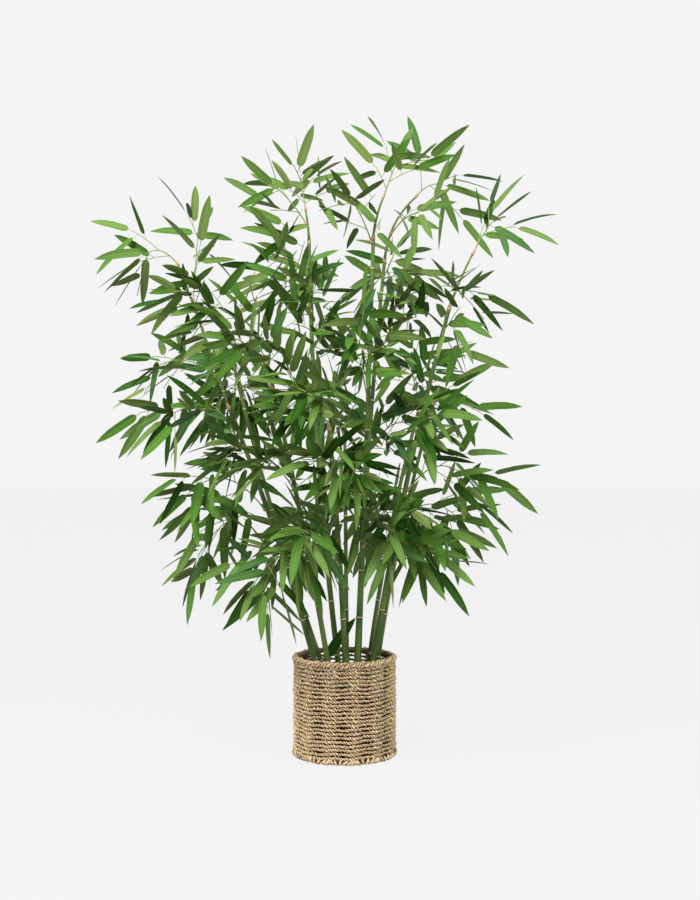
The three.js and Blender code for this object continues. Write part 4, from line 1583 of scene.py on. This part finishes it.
@dataclass
class Canes:
    """The jointed canes and thin boughs, with pale node rings and dry sheaths where shoots leave them.

    A sheath's fit is its radius over that of its limb. Its back is how far behind its place its foot lies.
    """

    NODE_RING = ((-1, 1.0), (-0.45, 1.05), (-0.2, 1.14), (0.16, 1.14), (0.3, 1.02), (1, 0.98))
    NODE_SEED = 300
    SHEATH_SEED = 77

    plant: Skeleton
    node_gap: Limits = (98 * MM, 132 * MM)
    bough_node_gap: Limits = (58 * MM, 84 * MM)
    sides: int = 14
    first_node: float = 0.45
    ring_reach: float = 5 * MM
    ring_half: float = 0.22
    longest_step: float = 22 * MM
    foot_sunk: float = 3 * MM
    bend_table: int = 129
    stem_sheath_length: Limits = (15 * MM, 24 * MM)
    stem_sheath_fit: float = 1.45
    stem_sheath_back: float = 2 * MM
    tip_sheath_length: float = 22 * MM
    tip_sheath_fit: float = 1.1
    tip_sheath_back: float = 13 * MM
    sheath_lean: float = 0.1
    strips: int = 6

    def profile(self, limb: Limb, length: float, nodes: Sequence[float]) -> list[Limits]:
        """A straight limb's profile, with a swelling and a raised ring at each node.

        Args:
            limb: The limb.
            length: Its length.
            nodes: The height of each node.

        Returns:
            Points of radius and height from the foot's middle to the tip's.
        """
        points = [(0.96, 0.0)]
        for node in nodes:
            last = points[-1][1]
            gap = node - self.ring_reach - last
            count = max(1, math.ceil(gap / self.longest_step))
            points += [(1.0, last + gap * i / count) for i in range(1, count)]
            points += [(swell, node + at * self.ring_reach) for at, swell in self.NODE_RING]
        last = points[-1][1]
        count = max(2, math.ceil((length - last) / self.longest_step))
        points += [(1.0, last + (length - last) * i / count) for i in range(1, count)]
        points += [(0.98, length - 0.4 * MM), (0.8, length)]
        body = [(swell * lerp(*limb.radii, height / length), height) for swell, height in points]
        return [(0, 0), *body, (0, length)]

    def bent(self, shape: Shape, limb: Limb, length: float) -> None:
        """Bend a straight upright shape along its limb's way.

        Args:
            shape: The shape, from height zero up.
            limb: The limb.
            length: The shape's height.
        """
        table = np.linspace(0, 1, self.bend_table)
        way = np.linalg.norm(np.diff(limb.route.point(table), axis=0), axis=1)
        reached = np.concatenate([[0], np.cumsum(way)]) / way.sum()
        share = np.interp(shape.points[:, 2] / length, reached, table)
        _, side, other = limb.route.frame(share)
        x, y = shape.points[:, :1].copy(), shape.points[:, 1:2].copy()
        shape.points = limb.route.point(share) + side * x + other * y

    def limb_shape(self, limb: Limb, seed: int) -> Shape:
        """One jointed cane or bough on its way.

        Args:
            limb: The limb.
            seed: The whole number that fixes where its nodes fall.

        Returns:
            The closed shape; slot 1 is its node rings.
        """
        draws = SeededDraws(seed)
        length = limb.route.length()
        gaps = self.bough_node_gap if limb.name.startswith("bough") else self.node_gap
        nodes = [draws.within(gaps) * self.first_node]
        while nodes[-1] + gaps[1] < length - self.ring_reach:
            nodes.append(nodes[-1] + draws.within(gaps))
        shape = spun(limb.name, self.profile(limb, length, nodes), self.sides)
        wrap_uvs(shape, self.strips, length)
        heights = shape.face_middles()[:, 2]
        for node in nodes:
            shape.slots[np.abs(heights - node) < self.ring_half * self.ring_reach] = 1
        self.bent(shape, limb, length)
        if limb.name.startswith("cane"):
            foot = shape.points[:, 2] < self.plant.base_top + 2 * MM
            shape.points[foot, 2] -= self.foot_sunk
        return shape

    def sheath(self) -> Shape:
        """One dry pointed sheath, one high and one wide."""
        profile = [(0, 0), (0.8, 0), (1, 0.12), (1.02, 0.3), (0.86, 0.5), (0.55, 0.75), (0.2, 0.95), (0, 1)]
        shape = spun("sheath", profile, 8)
        wrap_uvs(shape, 1, 1.0)
        return shape

    def sheaths(self) -> Shape:
        """A sheath at the foot of each stem and round the tip of each cane."""
        pattern = self.sheath()
        draws = SeededDraws(self.SHEATH_SEED)
        places = []
        for stem in self.plant.stems.values():
            radius = stem.radii[0] * self.stem_sheath_fit
            length = draws.within(self.stem_sheath_length)
            places.append((stem.route, 0.0, radius, length, self.stem_sheath_back))
        for limb in self.plant.limbs.values():
            if limb.name.startswith("cane"):
                radius = limb.radii[1] * self.tip_sheath_fit
                places.append((limb.route, 1.0, radius, self.tip_sheath_length, self.tip_sheath_back))
        rows = []
        for route, share, radius, length, back in places:
            tangent, side, other = route.frame(share)
            lean = side * draws.either(self.sheath_lean) + other * draws.either(self.sheath_lean)
            x, y, z = (pattern.points[:, i : i + 1] for i in range(3))
            start = route.point(share) - tangent * back
            rows.append(start + (side * x + other * y) * radius + (tangent + lean * z) * z * length)
        return pattern.copies(np.array(rows))

    def build(self) -> None:
        """Make and dress the canes, boughs and sheaths."""
        cane = CaneFinish("cane skin", (0.085, 0.145, 0.03), (0.028, 0.055, 0.009), (0.085, 0.07, 0.03))
        bough = CaneFinish("bough skin", (0.115, 0.17, 0.03), (0.055, 0.09, 0.016), (0.11, 0.09, 0.045))
        ring = PaperyFinish("node ring", (0.60, 0.50, 0.30), (0.36, 0.28, 0.15))
        papery = PaperyFinish("sheath", (0.38, 0.23, 0.13), (0.2, 0.12, 0.065))
        cane, bough, ring, papery = (finish.mix() for finish in (cane, bough, ring, papery))
        for i, limb in enumerate(self.plant.limbs.values()):
            thin = limb.name.startswith("bough")
            shape = self.limb_shape(limb, self.NODE_SEED + i)
            thing = shape.as_object(limb.name + "_jointed", [bough if thin else cane, ring])
            dress(thing, [limb.name])
        dress(self.sheaths().as_object("cane_sheaths", [papery]))


@dataclass
class LeafBlade:
    """The one leaf that all are copied from, and how each copy is bent."""

    OUTLINE = 0.999

    length: float = 106 * MM
    width: float = 19.8 * MM
    stalk: float = 0.13
    stalk_half: float = 0.6 * MM
    tip_half: float = 0.15 * MM
    thickness: float = 0.5 * MM
    rounded_to: float = 0.13
    tapers_from: float = 0.5
    taper_power: float = 2.1
    fold: float = 0.2
    folding: Limits = (0.5, 1.3)
    droop: Limits = (0.03, 0.17)
    sway: float = 0.05
    twist: float = 0.4
    stations: tuple[float, ...] = (0, 0.03, 0.11, 0.42, 0.66, 0.82, 0.93, 1)
    shares: tuple[float, ...] = (-1, -0.07, 0.07, 1)

    def pattern(self) -> tuple[Shape, np.ndarray]:
        """Model the leaf once, flat and one unit each way.

        Returns:
            The closed shape, and the station, share and lift of each point.
        """
        deselect_all()
        columns = len(self.shares)
        rows = len(self.stations) + 1
        bpy.ops.mesh.primitive_grid_add(x_subdivisions=columns - 1, y_subdivisions=rows - 1, size=2)
        thing = bpy.context.object
        bpy.ops.object.mode_set(mode="EDIT")
        bpy.ops.mesh.select_all(action="SELECT")
        bpy.ops.mesh.extrude_region_move(TRANSFORM_OT_translate={"value": (0, 0, -1)})
        bpy.ops.object.mode_set(mode="OBJECT")
        for vertex in thing.data.vertices:
            if max(abs(vertex.co.x), abs(vertex.co.y)) > self.OUTLINE:
                vertex.co.z = -0.5
        bpy.ops.object.mode_set(mode="EDIT")
        bpy.ops.mesh.select_all(action="SELECT")
        bpy.ops.mesh.remove_doubles(threshold=0.01)
        bpy.ops.mesh.normals_make_consistent(inside=False)
        bpy.ops.object.mode_set(mode="OBJECT")
        shape = Shape.read(thing)
        bpy.data.objects.remove(thing)
        column = np.round((shape.points[:, 0] + 1) / 2 * (columns - 1)).astype(int)
        row = np.round((shape.points[:, 1] + 1) / 2 * (rows - 1)).astype(int)
        station = np.array([-self.stalk, *self.stations])[row]
        share = np.array(self.shares)[column]
        lift = shape.points[:, 2] + 0.5
        middles = shape.face_middles()
        rib = np.abs(middles[:, 0]) < 1 / (columns - 1)
        below = middles[:, 2] < -0.5
        shape.marks = (np.abs(shape.points[:, :2]).max(axis=1) > self.OUTLINE).astype(float)
        shape.slots = below.astype(int) + 2 * rib
        corners = shape.corners
        shape.uvs = np.stack([station[corners], share[corners] / 2 + 0.5], axis=1)
        return shape, np.stack([station, share, lift])

    def half_width(self, station: np.ndarray) -> np.ndarray:
        """Half the leaf's width at each station: a blunt round foot and a long taper to a sharp tip."""
        foot = np.clip(station / self.rounded_to, 0, 1)
        taper = np.clip((station - self.tapers_from) / (1 - self.tapers_from), 0, 1)
        blade = np.sqrt(foot * (2 - foot)) * (1 - taper**self.taper_power) * self.width / 2
        stalk = np.where(station < 1, self.stalk_half, self.tip_half)
        return np.maximum(blade, stalk)

    def bend(self, draws: SeededDraws) -> tuple[float, float, float, float]:
        """How far one leaf droops, sways, twists and folds."""
        droop = draws.within(self.droop)
        sway = draws.either(self.sway)
        return droop, sway, draws.either(self.twist), draws.within(self.folding)

    def places(
        self, marks: np.ndarray, leaves: Sequence[Leaf], scale: float, draws: SeededDraws
    ) -> np.ndarray:
        """The points of every leaf.

        Args:
            marks: The station, share and lift of each point of the pattern.
            leaves: The leaves to lay.
            scale: The leaf's real length over that of the rule.
            draws: The numbers that bend them.

        Returns:
            Points as (leaf, point, 3).
        """
        station, share, lift = marks
        root, direction, across, face = (
            np.array([getattr(leaf, part) for leaf in leaves])[:, None]
            for part in ("root", "direction", "across", "face")
        )
        size = np.array([leaf.length for leaf in leaves])[:, None] * scale / self.length
        bends = np.array([self.bend(draws) for _ in leaves])
        droop, sway, twist, folding = (bends[:, i : i + 1] for i in range(4))
        along = (station + self.stalk) * self.length * size
        half = self.half_width(station) * size
        turn = twist * np.clip(station, 0, 1)
        sideways = share * half
        rise = np.abs(share) * half * self.fold * folding + lift * self.thickness
        blade = np.clip(station, 0, 1) ** 2 * self.length * size
        turned_across = across * np.cos(turn)[..., None] + face * np.sin(turn)[..., None]
        turned_face = face * np.cos(turn)[..., None] - across * np.sin(turn)[..., None]
        points = root + direction * along[..., None]
        points = points + turned_across * sideways[..., None] + turned_face * rise[..., None]
        points = points + across * (sway * blade)[..., None]
        return points - UP * (droop * blade)[..., None]


@dataclass
class Crown:
    """All the foliage, grown spray by spray and joined by region."""

    plant: Skeleton
    rule: GrowthRule = field(default_factory=GrowthRule)
    blade: LeafBlade = field(default_factory=LeafBlade)
    sprays: list[FinerSpray] = field(default_factory=list)
    # Sprays higher than this get the mix of painted light.
    high: float = 1.05

    TWIG_COUNTS = {
        "spray_top_peak": 4,
        "spray_upper_left": 4,
        "spray_right_upper": 4,
        "spray_arch_under": 4,
        "spray_right_middle_upper": 4,
        "spray_right_middle": 4,
        "spray_right_low_back": 4,
    }
    FULLER = {
        "spray_top_left": (1, 1),
        "spray_upper_left": (1, 2),
        "spray_top_centre_left": (1, 1),
        "spray_top_right_inner": (0, 0),
        "spray_right_middle_upper": (0, 0),
        "spray_right_lower": (0, 0),
        "spray_left_lower": (1, 2),
        "spray_bottom_left": (1, 2),
        "spray_front_low_left": (2, 7),
        "spray_front_low_right": (2, 8),
        "spray_front_low_centre": (2, 14),
        "spray_front_middle_left": (2, 9),
        "spray_front_middle": (2, 10),
        "spray_front_middle_right": (2, 8),
        "spray_front_centre": (2, 11),
        "spray_front_upper_left": (2, 3),
        "spray_front_upper": (2, 6),
        "spray_front_upper_right": (2, 4),
        "spray_back_middle": (2, 12),
        "spray_back_middle_right": (1, 4),
        "spray_back_upper_left": (0, 2),
        "spray_back_upper_right": (1, 2),
    }
    THREE_TWIGS = ("spray_top", "spray_right_top", "spray_arch_tip", "spray_arch_top")
    OPEN = (*THREE_TWIGS, "spray_right_middle", "spray_left_upper")
    LOW_LEAF_SPRAY = "spray_back_low_left"
    LOW_LEAF_ENDS = ((-50, 19, 206), (26, 8, 324))
    BLUER = ("spray_top_right", "spray_right_top", "spray_front_upper_left")
    LEAF_SEED = 900
    STEM_TUBE = (6, 12)
    TWIG_TUBE = (5, 6)
    SLIMMER = 0.72

    def twig_count(self, name: str) -> int:
        """How many twigs the solid of a spray has."""
        if name in self.TWIG_COUNTS:
            return self.TWIG_COUNTS[name]
        return 3 if name.startswith(self.THREE_TWIGS) else 5

    def grow(self) -> None:
        """Grow every spray, first as its solid and then on to finer twigs."""
        space = Space(self.plant, self.rule)
        crowd = Crowd()
        for i, (name, stem) in enumerate(self.plant.stems.items()):
            draws = SeededDraws(self.rule.seed + i)
            spray = FinerSpray(stem, self.twig_count(name), space, self.rule, draws, crowd=crowd)
            spray.grow()
            crowd.add(spray.leaves)
            self.sprays.append(spray)
        space.keep_to(leaf for spray in self.sprays for leaf in spray.leaves)
        for spray in self.sprays:
            solid_leaves = len(spray.leaves)
            spray.carry_on(*self.fullness(spray.name))
            if spray.name == self.LOW_LEAF_SPRAY:
                spray.leaves.append(self.low_leaf())
            log.info("%s: %d leaves, %d as its solid", spray.name, len(spray.leaves), solid_leaves)

    def low_leaf(self) -> Leaf:
        """The one leaf that rises from the foot of a cane inside the basket."""
        root, tip = (millimetres(*end) for end in self.LOW_LEAF_ENDS)
        return Leaf.laid(root, unit(tip - root), -NORTH, float(np.linalg.norm(tip - root)))

    def fullness(self, name: str) -> tuple[int, int]:
        """More leaves a twig, and finer twigs, of a spray: few at the open tips, many in the dense middle."""
        if name in self.FULLER:
            return self.FULLER[name]
        if name.startswith(self.OPEN):
            return 0, 0
        return (2, 10) if name.startswith("spray_back") else (1, 1)

    def mix_of(self, spray: FinerSpray) -> Mix:
        """The tones of a spray: sunlit and fresh high up as painted light, bluer at the top right, deeper at
        the back as painted shade.
        """
        if spray.name in self.BLUER:
            return Mix.TOP_RIGHT
        if spray.stem.route.point(0.7)[2] > self.high:
            return Mix.TOP
        return Mix.BACK if spray.name.startswith("spray_back") else Mix.MIDDLE

    def leaf_slots(self, pattern: Shape, spray: FinerSpray, draws: SeededDraws) -> np.ndarray:
        """The slot numbers of a spray's leaves, dealt from its mix of tones."""
        shares = np.cumsum(self.mix_of(spray).value) / sum(self.mix_of(spray).value)
        tones = np.array([np.searchsorted(shares, draws.share(), side="right") for _ in spray.leaves])
        return pattern.slots[None, :] + 4 * tones[:, None]

    def tube(self, limb: Limb, sides: int, steps: int) -> Shape:
        """A thin tapering stem or twig on its way."""
        share = np.linspace(0, 1, steps + 1)
        _, side, other = limb.route.frame(share)
        angle = np.arange(sides) / sides * TURN
        ring = np.stack([np.cos(angle), np.sin(angle)], axis=1)
        radius = lerp(*limb.radii, share) * self.SLIMMER
        section = ring[None] * radius[:, None, None]
        return swept(limb.route.point(share), side, other, section)

    def build(self) -> None:
        """Grow, make and dress the leaves and twigs of each region."""
        self.grow()
        pattern, marks = self.blade.pattern()
        leaf_materials = [material for tone in Tone for material in tone.finishes()]
        twig_material = LeafFinish("twig", (0.145, 0.205, 0.055), 0.55).mix()
        scale = self.blade.length / self.rule.leaf_length
        regions: dict[str, list[FinerSpray]] = {}
        for spray in self.sprays:
            regions.setdefault(self.region(spray.name), []).append(spray)
        for region, sprays in regions.items():
            names = [spray.name for spray in sprays]
            leaves, twigs = [], []
            for spray in sprays:
                draws = SeededDraws(self.LEAF_SEED + self.sprays.index(spray))
                slots = self.leaf_slots(pattern, spray, draws)
                places = self.blade.places(marks, spray.leaves, scale, draws)
                leaves.append(pattern.copies(places, slots))
                twigs.append(self.tube(spray.stem, *self.STEM_TUBE))
                twigs += [self.tube(twig, *self.TWIG_TUBE) for twig in spray.twigs]
            foliage = Shape.join(leaves).as_object(f"leaves_{region}", leaf_materials, sharp_marks=True)
            dress(foliage, names)
            dress(Shape.join(twigs).as_object(f"twigs_{region}", [twig_material]), names)
        log.info("%d leaves in all", sum(len(spray.leaves) for spray in self.sprays))

    def region(self, name: str) -> str:
        """The region that a spray belongs to."""
        for word in ("top", "front", "back", "right"):
            if f"_{word}" in name:
                return word
        return "left"


@dataclass
class Studio:
    """The pale floor, the soft light and the camera at the photograph's angle."""

    camera_at: Triple = (0.0126, -2.85, 0.695)
    lens: float = 49.88
    sensor: float = 36
    white: float = 0.905
    floor_size: float = 40
    floor_grey: float = 0.02
    floor_glow: float = 0.856
    lit_middle: Triple = (0, 0, 0.75)

    def camera(self) -> None:
        """Set up the camera, level and facing the plant."""
        data = bpy.data.cameras.new("camera")
        data.lens = self.lens
        data.sensor_width = self.sensor
        camera = bpy.data.objects.new("camera", data)
        camera.location = self.camera_at
        camera.rotation_euler = (math.pi / 2, 0, 0)
        bpy.context.scene.collection.objects.link(camera)
        bpy.context.scene.camera = camera

    def light(self, name: str, place: Vector3, size: float, power: float) -> None:
        """Hang a soft square light that faces the middle of the plant."""
        data = bpy.data.lights.new(name, "AREA")
        data.size = size
        data.energy = power
        lamp = bpy.data.objects.new(name, data)
        lamp.location = place
        way = unit(np.array(self.lit_middle) - np.array(place))
        lamp.rotation_euler = (math.acos(-way[2]), 0, math.atan2(way[1], way[0]) - math.pi / 2)
        bpy.context.scene.collection.objects.link(lamp)

    def build(self) -> None:
        """Make the floor, the lights and the camera."""
        scene = bpy.context.scene
        scene.view_settings.view_transform = "Standard"
        world = bpy.data.worlds.new("studio")
        world.use_nodes = True
        background = world.node_tree.nodes["Background"]
        background.inputs["Color"].default_value = (*grey(self.white), 1)
        scene.world = world
        deselect_all()
        bpy.ops.mesh.primitive_plane_add(size=self.floor_size, location=(0, 0, -0.5 * MM))
        floor = bpy.context.object
        floor.name = "studio_floor"
        recipe = Recipe("pale floor", grey(self.floor_grey), 1)
        recipe.set(recipe.shader, **{"Specular IOR Level": 0.0, "Emission Strength": self.floor_glow})
        recipe.set(recipe.shader, **{"Emission Color": (*grey(1), 1)})
        floor.data.materials.append(recipe.material)
        self.light("key light", (-1.3, -2.4, 3.2), 1.6, 300)
        self.light("fill light", (2.4, -1.8, 1.6), 2.2, 60)
        self.camera()


def main() -> None:
    """Build the pieces in order over the frame."""
    logging.basicConfig(level=logging.INFO, format="%(message)s")
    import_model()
    Studio().build()
    plant = plant_skeleton()
    Basket().build()
    Filling().build()
    Canes(plant).build()
    Crown(plant).build()


if __name__ == "__main__":
    main()
